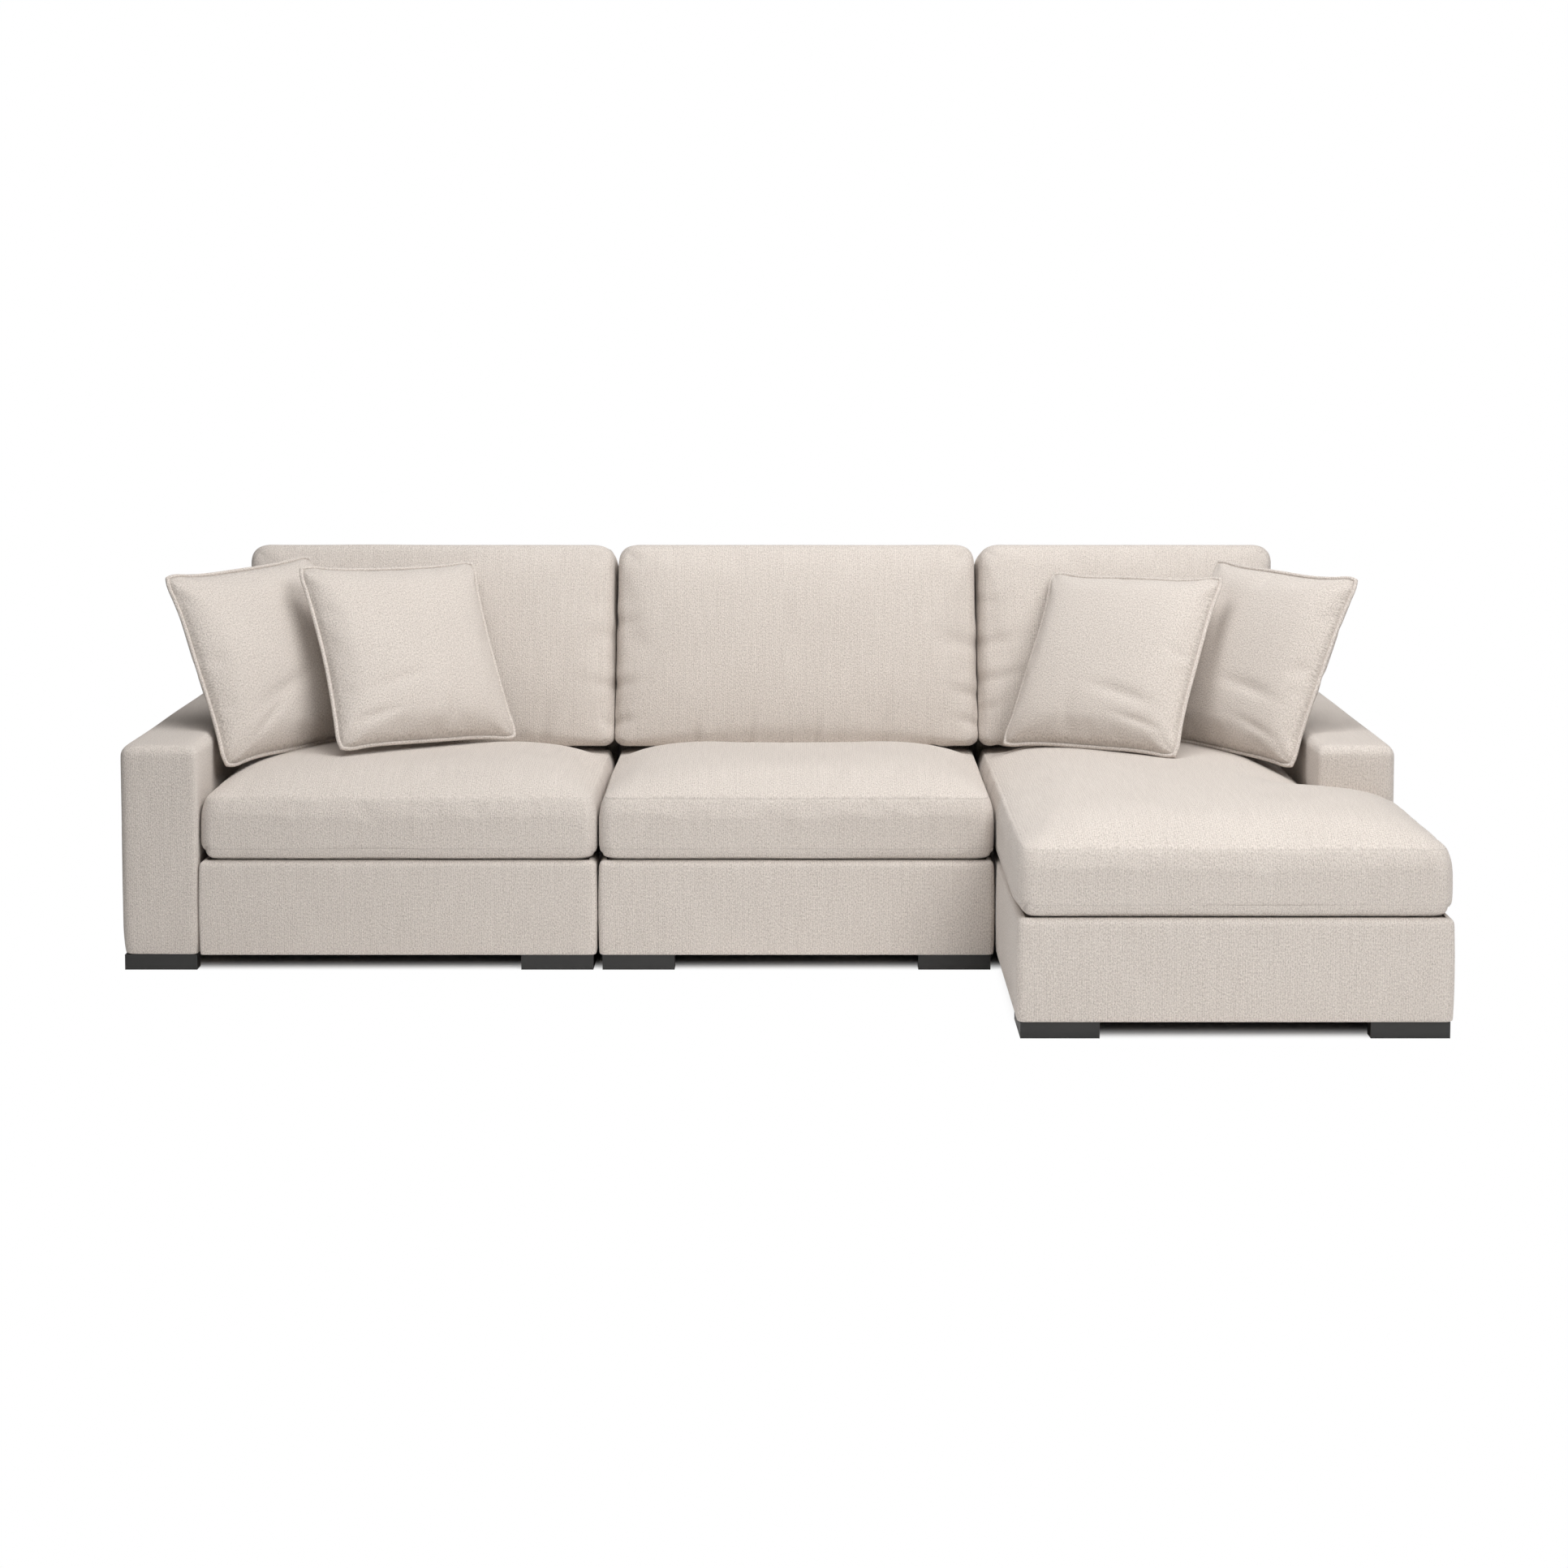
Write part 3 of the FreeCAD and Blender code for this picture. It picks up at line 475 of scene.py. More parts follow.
def chenille(name, ribs=1.0, tufts=1.0):
    """Ribbed chenille. Ribs are a sine across the cloth, bent a little by noise. Tufts are a fine
    and a coarse noise. Both set the bump and mix the yarn colours, with a noise stretched into
    streaks along the ribs, and a slow one for uneven tone. Painted shade darkens the seams'
    grooves and creases, from the piece's own seam attribute."""
    if name in FINISHES:
        return FINISHES[name]
    sizes = bpy.context.scene.sofa_sizes
    colours = bpy.context.scene.sofa_colours
    graph = Graph(bpy.data.materials.new(name))
    weave = graph.add("ShaderNodeUVMap", uv_map="weave").outputs[0]
    across = graph.add("ShaderNodeSeparateXYZ", {0: weave}).outputs[0]
    bend = graph.noise(weave, 110.0, 1.0)
    across = graph.math("MULTIPLY_ADD", bend, 0.006, across)
    rib = graph.math("SINE", graph.math("MULTIPLY", across, 2 * math.pi / sizes.rib))
    pile = graph.fleck(weave, 0.6, 520.0)
    pebble = graph.fleck(weave, 0.8, 260.0)
    streak = graph.fleck(weave, 0.05, 130.0)
    shade = graph.noise(weave, 5.0, 2.0)
    tuft = graph.centred(pile, 1.5 * tufts, graph.centred(pebble, 1.3 * tufts, 0.0))
    height = graph.math("MULTIPLY_ADD", rib, 0.09 * ribs, tuft)
    lift = graph.math("MULTIPLY_ADD", height, 1.35, 0.56)
    lift = graph.centred(shade, 0.15, graph.centred(streak, 0.35 * ribs, lift))
    lift = graph.add("ShaderNodeClamp", {0: lift}).outputs[0]
    colour = graph.mix(lift, tuple(colours.cloth_dark), tuple(colours.cloth_light))
    # Painted shade: where the seam attribute is high, the colour mixes towards a dimmed ground colour,
    # standing in for shade in seam grooves and creases
    seam = graph.add("ShaderNodeAttribute", attribute_name="seam").outputs["Fac"]
    colour = graph.mix(graph.math("MULTIPLY", seam, 0.6), colour, tinted(colours.cloth_dark, 0.55))
    FINISHES[name] = graph.shaded(colour, height, 0.7, 0.0016, Roughness=0.95, Specular_IOR_Level=0.18,
                                  Sheen_Weight=colours.sheen, Sheen_Roughness=0.45)
    return FINISHES[name]


def woven(name, colour, scale):
    """Plain cloth: two crossed sines for warp and weft, with noise for slubs."""
    if name in FINISHES:
        return FINISHES[name]
    graph = Graph(bpy.data.materials.new(name))
    weave = graph.add("ShaderNodeUVMap", uv_map="weave").outputs[0]
    parts = graph.add("ShaderNodeSeparateXYZ", {0: weave})
    warp = graph.math("SINE", graph.math("MULTIPLY", parts.outputs[0], scale))
    weft = graph.math("SINE", graph.math("MULTIPLY", parts.outputs[1], scale))
    slub = graph.fleck(weave, 0.2, 160.0, 3.0, 0.5)
    height = graph.math("MULTIPLY_ADD", graph.math("MULTIPLY", warp, weft), 0.4, slub)
    factor = graph.add("ShaderNodeClamp", {0: height}).outputs[0]
    tone = graph.mix(factor, tinted(colour, 0.72), tinted(colour, 1.12))
    FINISHES[name] = graph.shaded(tone, height, 0.4, 0.0008, Roughness=0.9, Specular_IOR_Level=0.2)
    return FINISHES[name]


def grained(name, colour, contrast, roughness, rings=14.0):
    """Wood: rings are a sine of a noise that is stretched along the board, with fine pores on
    top. It reads object coordinates."""
    graph = Graph(bpy.data.materials.new(name))
    place = graph.add("ShaderNodeTexCoord").outputs["Object"]
    warp = graph.noise(graph.vector("MULTIPLY", place, (0.6, 5.0, 5.0)), 3.0, 4.0)
    ring = graph.math("SINE", graph.math("MULTIPLY", warp, rings * math.pi))
    pores = graph.noise(graph.vector("MULTIPLY", place, (12.0, 160.0, 160.0)), 4.0, 2.0)
    height = graph.math("MULTIPLY_ADD", ring, 0.25, pores)
    factor = graph.add("ShaderNodeClamp", {0: height}).outputs[0]
    tone = graph.mix(factor, tinted(colour, 1 - contrast), tinted(colour, 1 + contrast))
    return graph.shaded(tone, pores, 0.25, 0.0004, Roughness=roughness, Specular_IOR_Level=0.4)


def plated(name, colour, roughness):
    """Drawn or plated steel: metal with a fine mottle in its colour and its roughness."""
    graph = Graph(bpy.data.materials.new(name))
    place = graph.add("ShaderNodeTexCoord").outputs["Object"]
    mottle = graph.noise(place, 90.0, 3.0)
    tone = graph.mix(mottle, tinted(colour, 0.85), tinted(colour, 1.1))
    rough = graph.math("MULTIPLY_ADD", mottle, 0.2, roughness)
    return graph.shaded(tone, mottle, 0.1, 0.0003, Metallic=1.0, Roughness=rough)


def clothe(piece, finish, body, slot, *nodes):
    """The closing steps of every piece: its finish, its body and what it stands for. The slot is not used."""
    piece.data.materials.clear()
    piece.data.materials.append(finish)
    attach(piece, body)
    if nodes:
        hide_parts(*nodes)


# Shapes

def carried(name, path_at, profile):
    """A profile carried along a closed outline. path_at(inset) gives the outline's points, drawn
    in by an inset, and profile is an array of (inset, height). Every profile point has its own
    ring of points, and the last ring joins the first."""
    rings = np.stack([path_at(inset) for inset in profile[:, 0]])
    heights = np.broadcast_to(profile[:, 1][:, None], rings.shape[:2])
    return ring_grid(name, np.dstack([rings, heights]), path_lengths(path_at(0.0)), path_lengths(profile))


def outline(corners, radii, inset, pitch=0.02, arc=7):
    """A closed outline with round corners, anticlockwise, drawn in by an inset. Each side moves
    inwards along its normal, each corner becomes an arc of its radius less the inset (plus it
    where the corner turns the other way), and each side gets evenly spaced points, as many as
    the outline has without an inset."""
    corners = np.array(corners, float)
    ahead = np.roll(corners, -1, axis=0) - corners
    lengths = np.linalg.norm(ahead, axis=1)
    ahead /= lengths[:, None]
    behind = np.roll(ahead, 1, axis=0)
    turn = behind[:, 0] * ahead[:, 1] - behind[:, 1] * ahead[:, 0]
    points = []
    arcs = []
    for corner, first, second, left, radius in zip(corners, behind, ahead, turn > 0, radii):
        sign = 1.0 if left else -1.0
        normal_in = np.array([-first[1], first[0]])
        normal_out = np.array([-second[1], second[0]])
        radius = max(radius, inset + 0.0005) if left else radius
        reach = radius - sign * inset
        centre = corner + sign * (normal_in + normal_out) * radius
        angle = np.linspace(0, math.pi / 2, arc)[:, None]
        arcs.append(centre - sign * reach * (np.cos(angle) * normal_in + np.sin(angle) * normal_out))
    for index, length in enumerate(lengths):
        start = arcs[index][-1]
        end = arcs[(index + 1) % len(arcs)][0]
        count = max(2, round((length - 2 * max(radii)) / pitch))
        share = np.linspace(0, 1, count + 1)[1:-1, None]
        points.append(arcs[index])
        points.append(start + (end - start) * share)
    return np.concatenate(points)


def block(name, low, high, rows, crown, reach, radii, pitch=0.02, notch=None):
    """A soft box: rest lattice, then vertical corners rounded, then the sides drawn in by
    rows of (height, inset), then the top raised as a dome. Radii belong to the corners at low x
    and low y, high x and low y, low x and high y, and the rest. Gives the piece and its rest points."""
    xs = graded(low[0], high[0], pitch)
    ys = graded(low[1], high[1], pitch)
    heights = np.array([row[0] for row in rows])
    if notch is not None:
        xs = np.concatenate([graded(low[0], notch[0], pitch), graded(notch[0], high[0], pitch)[1:]])
        ys = np.concatenate([graded(low[1], notch[1], pitch), graded(notch[1], high[1], pitch)[1:]])
    solid = np.ones((len(xs) - 1, len(ys) - 1, len(heights) - 1), bool)
    if notch is not None:
        beyond_x = xs[:-1] >= notch[0] - 1e-6
        beyond_y = ys[:-1] >= notch[1] - 1e-6
        solid[np.ix_(beyond_x, beyond_y)] = False
    piece, rest = lattice_piece(name, (xs, ys, heights), solid)
    x, y, z = rest.T.copy()
    rise = hump(x, y, low, high, (reach,) * 4)
    if notch is not None:
        rise = rise * dome(from_notch(x, y, notch), reach)
    drawn = np.interp(z, heights, [row[1] for row in rows])
    corners = [((low[0], low[1]), (1, 1)), ((high[0], low[1]), (-1, 1)), ((low[0], high[1]), (1, -1))]
    if notch is None:
        corners.append(((high[0], high[1]), (-1, -1)))
    else:
        corners += [((high[0], notch[1]), (-1, -1)), ((notch[0], high[1]), (-1, -1))]
    for (corner, inward), radius in zip(corners, tuple(radii) + (radii[-1],)):
        x, y = round_corner(x, y, corner, inward, radius)
    if notch is not None:
        x, y = round_notch(x, y, notch, radii[-1])
    middle = (low + high) / 2
    half = (high - low) / 2
    x = middle[0] + (x - middle[0]) * (1 - drawn / half[0])
    y = middle[1] + (y - middle[1]) * (1 - drawn / half[1])
    top = z >= heights[-1] - 1e-7
    z = z + np.where(top, rise * crown, 0.0)
    write_points(piece, np.stack([x, y, z], axis=1))
    return piece, rest


def side_rows(bottom, top, under, over, steps=5):
    """Rows for a block's side: a small quarter round at the foot, plain rows, and a larger
    quarter round at the top that stops at 60 degrees, where the dome takes over."""
    angle = np.linspace(0, math.pi / 2, 3)
    foot = [(bottom + under * (1 - math.sin(a)), under * (1 - math.cos(a))) for a in angle[::-1]]
    levels = np.linspace(bottom + under, top - over, max(3, round((top - bottom) / 0.04)))
    plain = [(z, 0.0) for z in levels[1:-1]]
    turn = np.linspace(0, math.radians(60), steps)
    head = [(top - over + over * math.sin(a), over * (1 - math.cos(a))) for a in turn]
    return foot[:-1] + [(bottom + under, 0.0)] + plain + head


# Operators, one for each group of pieces

class SOFA_OT_stage(bpy.types.Operator):
    """Floor, lamps, backdrop and camera"""
    bl_idname = "sofa.stage"
    bl_label = "Stage"

    # The camera was fitted to points measured in the photo
    camera_place = (0.0920, -7.1495, 1.6405)
    camera_tilt = math.radians(86)
    camera_lens = 66.95
    camera_shift = (-0.0073, -0.1839)
    floor_half = 60.0
    # How far inside the sofa's plan the floor starts to turn white
    shade = 0.15
    # How strongly the backdrop lights the sofa, and in which colour
    world_light = 0.09
    world_colour = (1.0, 0.985, 0.97, 1)
    lamp_colour = (1.0, 0.99, 0.98)
    # Lamps: name, place, aim, size, watts
    lamps = (
        ("key_softbox", (2.2, -3.4, 3.8), (0.5, -0.3, 0.3), (3.0, 2.4), 138),
        ("top_softbox", (0.2, -0.9, 4.4), (0.0, -0.1, 0.3), (5.0, 1.8), 140),
        ("rear_softbox", (0.0, 3.4, 2.6), (0.0, 0.3, 0.4), (4.0, 1.6), 26),
    )

    def execute(self, context):
        scene = context.scene
        scene.view_settings.view_transform = "Standard"
        camera = bpy.data.objects.new("camera", bpy.data.cameras.new("camera"))
        scene.collection.objects.link(camera)
        camera.location = self.camera_place
        camera.rotation_euler = (self.camera_tilt, 0, 0)
        camera.data.lens = self.camera_lens
        camera.data.sensor_width = 36
        camera.data.shift_x, camera.data.shift_y = self.camera_shift
        camera.data.clip_end = 200
        scene.camera = camera
        corners = np.array([(-1, -1, 0), (1, -1, 0), (1, 1, 0), (-1, 1, 0)]) * self.floor_half
        floor = mesh_object("studio_floor", corners, np.array([(0, 1, 2, 3)]), np.zeros((4, 2)))
        floor.data.materials.append(self.floor_finish())
        scene.world = self.backdrop()
        for lamp in self.lamps:
            self.lamp(scene, *lamp)
        return {"FINISHED"}

    def floor_finish(self):
        """Matt white, with a slow unevenness. Away from the sofa's plan, which is two boxes,
        it turns as white as the backdrop."""
        graph = Graph(bpy.data.materials.new("studio floor"))
        place = graph.add("ShaderNodeTexCoord").outputs["Object"]
        flat = graph.vector("MULTIPLY", place, (1.0, 1.0, 0.0))
        low, high = (np.array(corner[:2]) for corner in CAD_BOX)
        ways = []
        for first in ((low[0], seat_front()), (box_of("chaise_base_cover")[0][0], low[1])):
            middle = (first + high) / 2
            half = (high - first) / 2 - self.shade
            past = graph.vector("ABSOLUTE", graph.vector("SUBTRACT", flat, (*middle, 0.0)))
            past = graph.vector("MAXIMUM", graph.vector("SUBTRACT", past, (*half, 0.0)))
            ways.append(graph.add("ShaderNodeVectorMath", {0: past}, operation="LENGTH").outputs["Value"])
        away = graph.math("MINIMUM", ways[0], ways[1])
        far = graph.add("ShaderNodeMapRange", {0: away, 1: 0.0, 2: 1.06 * self.shade},
                        interpolation_type="SMOOTHSTEP").outputs[0]
        seen = graph.add("ShaderNodeLightPath").outputs["Is Camera Ray"]
        colour = bpy.context.scene.sofa_colours.floor
        tone = graph.mix(graph.noise(place, 3.0), tinted(colour, 0.99), tuple(colour))
        matt = graph.add("ShaderNodeBsdfDiffuse", {"Color": tone})
        glow = graph.add("ShaderNodeEmission", {"Color": (1, 1, 1, 1), "Strength": 1.0})
        share = graph.math("MULTIPLY", graph.math("POWER", far, 3.0), seen)
        both = graph.add("ShaderNodeMixShader", {0: share, 1: matt.outputs[0], 2: glow.outputs[0]})
        return graph.finish(both.outputs[0])

    def backdrop(self):
        """A world that is white to the camera, and softer as a light."""
        graph = Graph(bpy.data.worlds.new("studio"))
        path = graph.add("ShaderNodeLightPath")
        seen = graph.math("MAXIMUM", path.outputs["Is Camera Ray"], path.outputs["Is Transmission Ray"])
        soft = graph.add("ShaderNodeBackground", {0: self.world_colour, 1: self.world_light})
        white = graph.add("ShaderNodeBackground", {0: (1, 1, 1, 1)})
        both = graph.add("ShaderNodeMixShader", {0: seen, 1: soft.outputs[0], 2: white.outputs[0]})
        return graph.finish(both.outputs[0], "ShaderNodeOutputWorld")

    def lamp(self, scene, name, place, aim, size, power):
        """A softbox that faces its aim, with its width level."""
        lamp = bpy.data.lights.new(name, "AREA")
        lamp.shape = "RECTANGLE"
        lamp.size, lamp.size_y = size
        lamp.energy = power
        lamp.color = self.lamp_colour
        holder = bpy.data.objects.new(name, lamp)
        scene.collection.objects.link(holder)
        direction = np.array(aim) - np.array(place)
        direction /= np.linalg.norm(direction)
        side = np.cross(direction, (0, 0, 1.0))
        side /= np.linalg.norm(side)
        up = np.cross(side, direction)
        turn = Matrix((side, up, -direction)).transposed().to_4x4()
        holder.matrix_world = Matrix.Translation(place) @ turn
        holder.visible_camera = False


class SOFA_OT_frame_finishes(bpy.types.Operator):
    """Finishes of the pieces that come from the frame: timber, feet and fittings"""
    bl_idname = "sofa.frame_finishes"
    bl_label = "Frame finishes"

    def execute(self, context):
        colours = context.scene.sofa_colours
        finishes = {
            "feet_black": grained("black stained feet", colours.feet, 0.12, 0.42, 6.0),
            "frame_wood": grained("raw frame timber", colours.wood, 0.22, 0.7),
            "zinc_steel": plated("zinc plate", colours.zinc, 0.25),
        }
        slots = {part["node"]: part["material_slot"] for part in frame["record"]["subparts"]}
        for name, node in frame["nodes"].items():
            finish = finishes.get(slots[name])
            if finish is None:
                continue
            node.data.materials.clear()
            node.data.materials.append(finish)
        return {"FINISHED"}


def base_corners(name):
    """The plan of a module's base, anticlockwise, and the radii of its corners. They are tight
    beside an arm. The chaise's base passes in front of the arm."""
    low, high = box_of(name + "_base_cover")
    if name != "chaise":
        corners = [(low[0], low[1]), (high[0], low[1]), (high[0], high[1]), (low[0], high[1])]
        by_arm = 0.007 if name == "left" else 0.014
        return corners, (by_arm, 0.014, 0.014, by_arm)
    arm = box_of("right_arm_cover")[0] - ARM_GAP
    corners = [(low[0], low[1]), (high[0], low[1]), (high[0], arm[1]), (arm[0], arm[1]),
               (arm[0], high[1]), (low[0], high[1])]
    return corners, (0.018, 0.020, 0.012, 0.006, 0.007, 0.014)


class SOFA_OT_bases(bpy.types.Operator):
    """Upholstered walls round the three seat boxes"""
    bl_idname = "sofa.bases"
    bl_label = "Base covers"

    # The rolled top edge, how far the wall bulges, and its thickness
    roll = 0.017
    bulge = 0.0022
    wall = 0.0135
    unevenness = 0.0016

    def execute(self, context):
        for name in MODULES:
            node = name + "_base_cover"
            low, high = box_of(node)
            corners, radii = base_corners(name)
            piece = carried(name + "_base_upholstery", lambda inset: outline(corners, radii, inset),
                            self.profile(low[2], high[2]))
            points = read_points(piece.data)
            share = np.clip((points[:, 2] - low[2]) / (high[2] - low[2]), 0, 1)
            points[:, 2] += self.unevenness * wobble(points, len(name), 0.3) * share * (1 - share) * 4
            write_points(piece, points)
            refine(piece, 1)
            clothe(piece, chenille("ribbed chenille"), name + "_module", "upholstery", node)
        return {"FINISHED"}

    def profile(self, bottom, top):
        """The wall's section as (inset, height): up the outside, whose bulge is half a sine wave,
        over a quarter round, and down the inside."""
        roll = self.roll
        share = np.linspace(0, 1, 9)
        heights = np.linspace(bottom + 0.006, top - roll, 9)
        angle = np.linspace(0, math.pi / 2, 7)[1:]
        foot = [(0.004, bottom), (0.001, bottom + 0.002)]
        outside = np.column_stack([-self.bulge * np.sin(math.pi * share), heights])
        over = np.column_stack([roll * (1 - np.cos(angle)), top - roll + roll * np.sin(angle)])
        lip = [(roll + 0.002, top - 0.0006), (roll + 0.001, top - 0.0013), (self.wall, top - 0.002)]
        inside = [(self.wall, z) for z in np.linspace(top - 0.03, bottom + 0.004, 6)]
        return np.concatenate([foot, outside, over, lip, inside, [(self.wall - 0.0015, bottom)]])


class SOFA_OT_decks(bpy.types.Operator):
    """Padded decks that the seat cushions lie on"""
    bl_idname = "sofa.decks"
    bl_label = "Seat decks"

    arm_gap = 0.016
    crown = 0.0028

    def execute(self, context):
        finish = woven("plain decking", context.scene.sofa_colours.deck, 2600.0)
        for name in MODULES:
            node = name + "_seat_deck"
            low, high = box_of(node)
            notch = None
            if name == "chaise":
                notch = box_of("right_arm_cover")[0][:2] - self.arm_gap
            rows = [(low[2], 0.002), (low[2] + 0.003, 0.0), (high[2] - 0.006, 0.0), (high[2] - 0.003, 0.002)]
            piece = block(name + "_deck_pad", low, high, rows, self.crown, 0.08, (0.004,) * 4, 0.04, notch)[0]
            clothe(piece, finish, name + "_module", "deck_cloth", node)
        return {"FINISHED"}


def zigzag(start, along, across, runs, half, pitch, steps=8):
    """The path of a zigzag spring: straight runs across, joined by half circles of half the
    pitch. Each run's half circle starts at its far end, and every other run turns back."""
    angles = np.linspace(-math.pi / 2, math.pi / 2, steps + 1)
    index, angle = np.meshgrid(np.arange(runs), angles, indexing="ij")
    side = np.where(index % 2 == 0, 1.0, -1.0)
    forward = (index + 0.5 + 0.5 * np.sin(angle)) * pitch
    sideways = side * (half + 0.5 * pitch * np.cos(angle))
    forward = np.concatenate([[0.0], forward.ravel()[:-steps]])
    sideways = np.concatenate([[-half], sideways.ravel()[:-steps]])
    return start + forward[:, None] * along + sideways[:, None] * across


def wires(name, paths, radius):
    """A mesh of round wires along open paths, with closed ends."""
    curve = bpy.data.curves.new(name, "CURVE")
    curve.dimensions = "3D"
    curve.bevel_depth = radius
    curve.bevel_resolution = 2
    curve.use_fill_caps = True
    for path in paths:
        spline = curve.splines.new("POLY")
        spline.points.add(len(path) - 1)
        places = np.column_stack([path, np.ones(len(path))])
        spline.points.foreach_set("co", places.astype(np.float32).ravel())
    holder = bpy.data.objects.new(name + "_path", curve)
    mesh = bpy.data.meshes.new_from_object(holder)
    bpy.data.objects.remove(holder)
    bpy.data.curves.remove(curve)
    shell = bmesh.new()
    shell.from_mesh(mesh)
    bmesh.ops.remove_doubles(shell, verts=shell.verts, dist=1e-5)
    bmesh.ops.recalc_face_normals(shell, faces=shell.faces)
    shell.to_mesh(mesh)
    shell.free()
    mesh.name = name
    mesh.shade_smooth()
    piece = bpy.data.objects.new(name, mesh)
    bpy.context.scene.collection.objects.link(piece)
    return piece


class SOFA_OT_springs(bpy.types.Operator):
    """Zigzag springs under the decks, as lighter meshes than the frame's own"""
    bl_idname = "sofa.springs"
    bl_label = "Springs"

    # The distance between a wire's runs, and the width of its zigzag
    pitch = 0.034
    width = 0.056
    # How many wires a module has, and which axis they run along
    rows = {"left": (5, 1), "middle": (5, 1), "chaise": (9, 0)}

    def execute(self, context):
        """Finds each wire's ends from the frame's own springs, which it stands for."""
        steel = plated("oiled spring steel", context.scene.sofa_colours.steel, 0.35)
        for name in MODULES:
            node = name + "_seat_springs"
            low, high = box_of(node)
            radius = (high[2] - low[2]) / 2
            cad = read_points(frame["nodes"][node].data)
            count, along = self.rows[name]
            across = 1 - along
            reach = self.width / 2 + radius
            paths = []
            for centre in np.linspace(low[across] + reach, high[across] - reach, count):
                own = cad[np.abs(cad[:, across] - centre) < reach, along]
                runs = round((own.max() - own.min() - 2 * radius) / self.pitch) + 1
                start = np.array([0.0, 0.0, low[2] + radius])
                start[along] = own.min() + radius
                start[across] = centre
                paths.append(zigzag(start, np.eye(3)[along], np.eye(3)[across], runs,
                                    (self.width - self.pitch) / 2, self.pitch))
            piece = wires(name + "_springs", paths, radius)
            clothe(piece, steel, name + "_module", "spring_steel", node)
        return {"FINISHED"}


class SOFA_OT_dust_cloths(bpy.types.Operator):
    """Black cloths stapled under the bases and the arms"""
    bl_idname = "sofa.dust_cloths"
    bl_label = "Dust cloths"

    # How far in from the cover's edge the cloth ends, and how far it sags
    lap = 0.0304
    sag = 0.003

    def execute(self, context):
        for name in MODULES:
            notch = None
            if name == "chaise":
                notch = box_of("right_arm_cover")[0][:2] - ARM_GAP - self.lap
            self.cloth(name, name + "_base_cover", name + "_dust_cloth", notch, name + "_dust_cover")
            if name != "middle":
                arm = "left_arm_cover" if name == "left" else "right_arm_cover"
                self.cloth(name, arm, name + "_arm_dust_cloth", None)
        return {"FINISHED"}

    def cloth(self, module, cover, name, notch, *stands_for):
        """One cloth under a cover, sagging as a product of domes. It rests on the base frame."""
        low, high = box_of(cover)
        below, above = box_of(module + "_dust_cover")
        low = np.append(low[:2] + self.lap, below[2])
        high = np.append(high[:2] - self.lap, above[2])
        rows = [(low[2], 0.0), (high[2], 0.0)]
        piece, rest = block(name, low, high, rows, 0.0, 0.05, (0.001,) * 4, 0.05, notch)
        points = read_points(piece.data)
        points[:, 2] -= self.sag * hump(rest[:, 0], rest[:, 1], low, high, (0.3,) * 4)
        write_points(piece, points)
        finish = woven("black cambric", bpy.context.scene.sofa_colours.dust, 1800.0)
        clothe(piece, finish, module + "_module", "dust_cloth", *stands_for)


class SOFA_OT_backs(bpy.types.Operator):
    """Upholstered shells of the three backs"""
    bl_idname = "sofa.backs"
    bl_label = "Back covers"

    slope = math.tan(LEAN)
    # The seam across the rear, below the top edge
    seam_drop = 0.045
    seam_width = 0.0035

    def execute(self, context):
        for name in MODULES:
            node = name + "_back_cover"
            low, high = box_of(node)
            tall = high[2] - low[2]
            rows = side_rows(low[2], high[2], 0.003, 0.022)
            piece = block(name + "_back_upholstery", low, high, rows, 0.005, 0.03, (0.012,) * 4, 0.025)[0]
            points = read_points(piece.data)
            forward = (high[1] - points[:, 1]) / (high[1] - low[1])
            points[:, 1] += forward * (points[:, 2] - low[2]) * self.slope
            points[:, 1] = np.minimum(points[:, 1], high[1])
            write_points(piece, points)
            points, normal, rest = finished_surface(piece, 1)
            seam = groove(rest[:, 2] - (high[2] - self.seam_drop), self.seam_width)
            seam *= rest[:, 1] > low[1] + 0.03
            points -= normal * (seam * context.scene.sofa_sizes.seam)[:, None]
            swell = np.sin(np.clip((rest[:, 2] - low[2]) / tall, 0, 1) * math.pi)
            points[:, 1] -= np.where(rest[:, 1] > high[1] - 0.001, 0.001 * (1 - swell), 0)
            write_points(piece, points)
            # The rear seam's groove depth, which the chenille also turns into painted shade along the seam
            store(piece, "seam", seam)
            clothe(piece, chenille("ribbed chenille"), name + "_module", "upholstery", node)
        return {"FINISHED"}


class SOFA_OT_arms(bpy.types.Operator):
    """The two upholstered arms"""
    bl_idname = "sofa.arms"
    bl_label = "Arms"

    # Corner radii in plan, and how far the foot is drawn in over its lowest part
    outer = 0.026
    inner = 0.014
    foot_inset = 0.005
    foot_height = 0.06
    # The slow unevenness of the faces, and how far they lie inside their solid on average
    unevenness = 0.0012
    inside = 0.0010

    def execute(self, context):
        for name, module in (("left", "left"), ("right", "chaise")):
            node = name + "_arm_cover"
            low, high = box_of(node)
            rows = [(z, inset + self.foot_inset * max(0.0, 1 - (z - low[2]) / self.foot_height) ** 2)
                    for z, inset in side_rows(low[2], high[2], 0.004, 0.03, 6)]
            radii = (self.outer, self.inner, 0.02, 0.012)
            if name == "right":
                radii = (self.inner, self.outer, 0.012, 0.02)
            piece = block(name + "_arm_upholstery", low, high, rows, 0.0038, 0.035, radii, 0.022)[0]
            points, normal, rest = finished_surface(piece, 1)
            points += normal * (self.unevenness * wobble(rest, 31, 0.25) - self.inside)[:, None]
            write_points(piece, np.clip(points, low, high + np.array([0, 0, 0.006])))
            clothe(piece, chenille("ribbed chenille"), module + "_module", "upholstery", node)
        return {"FINISHED"}


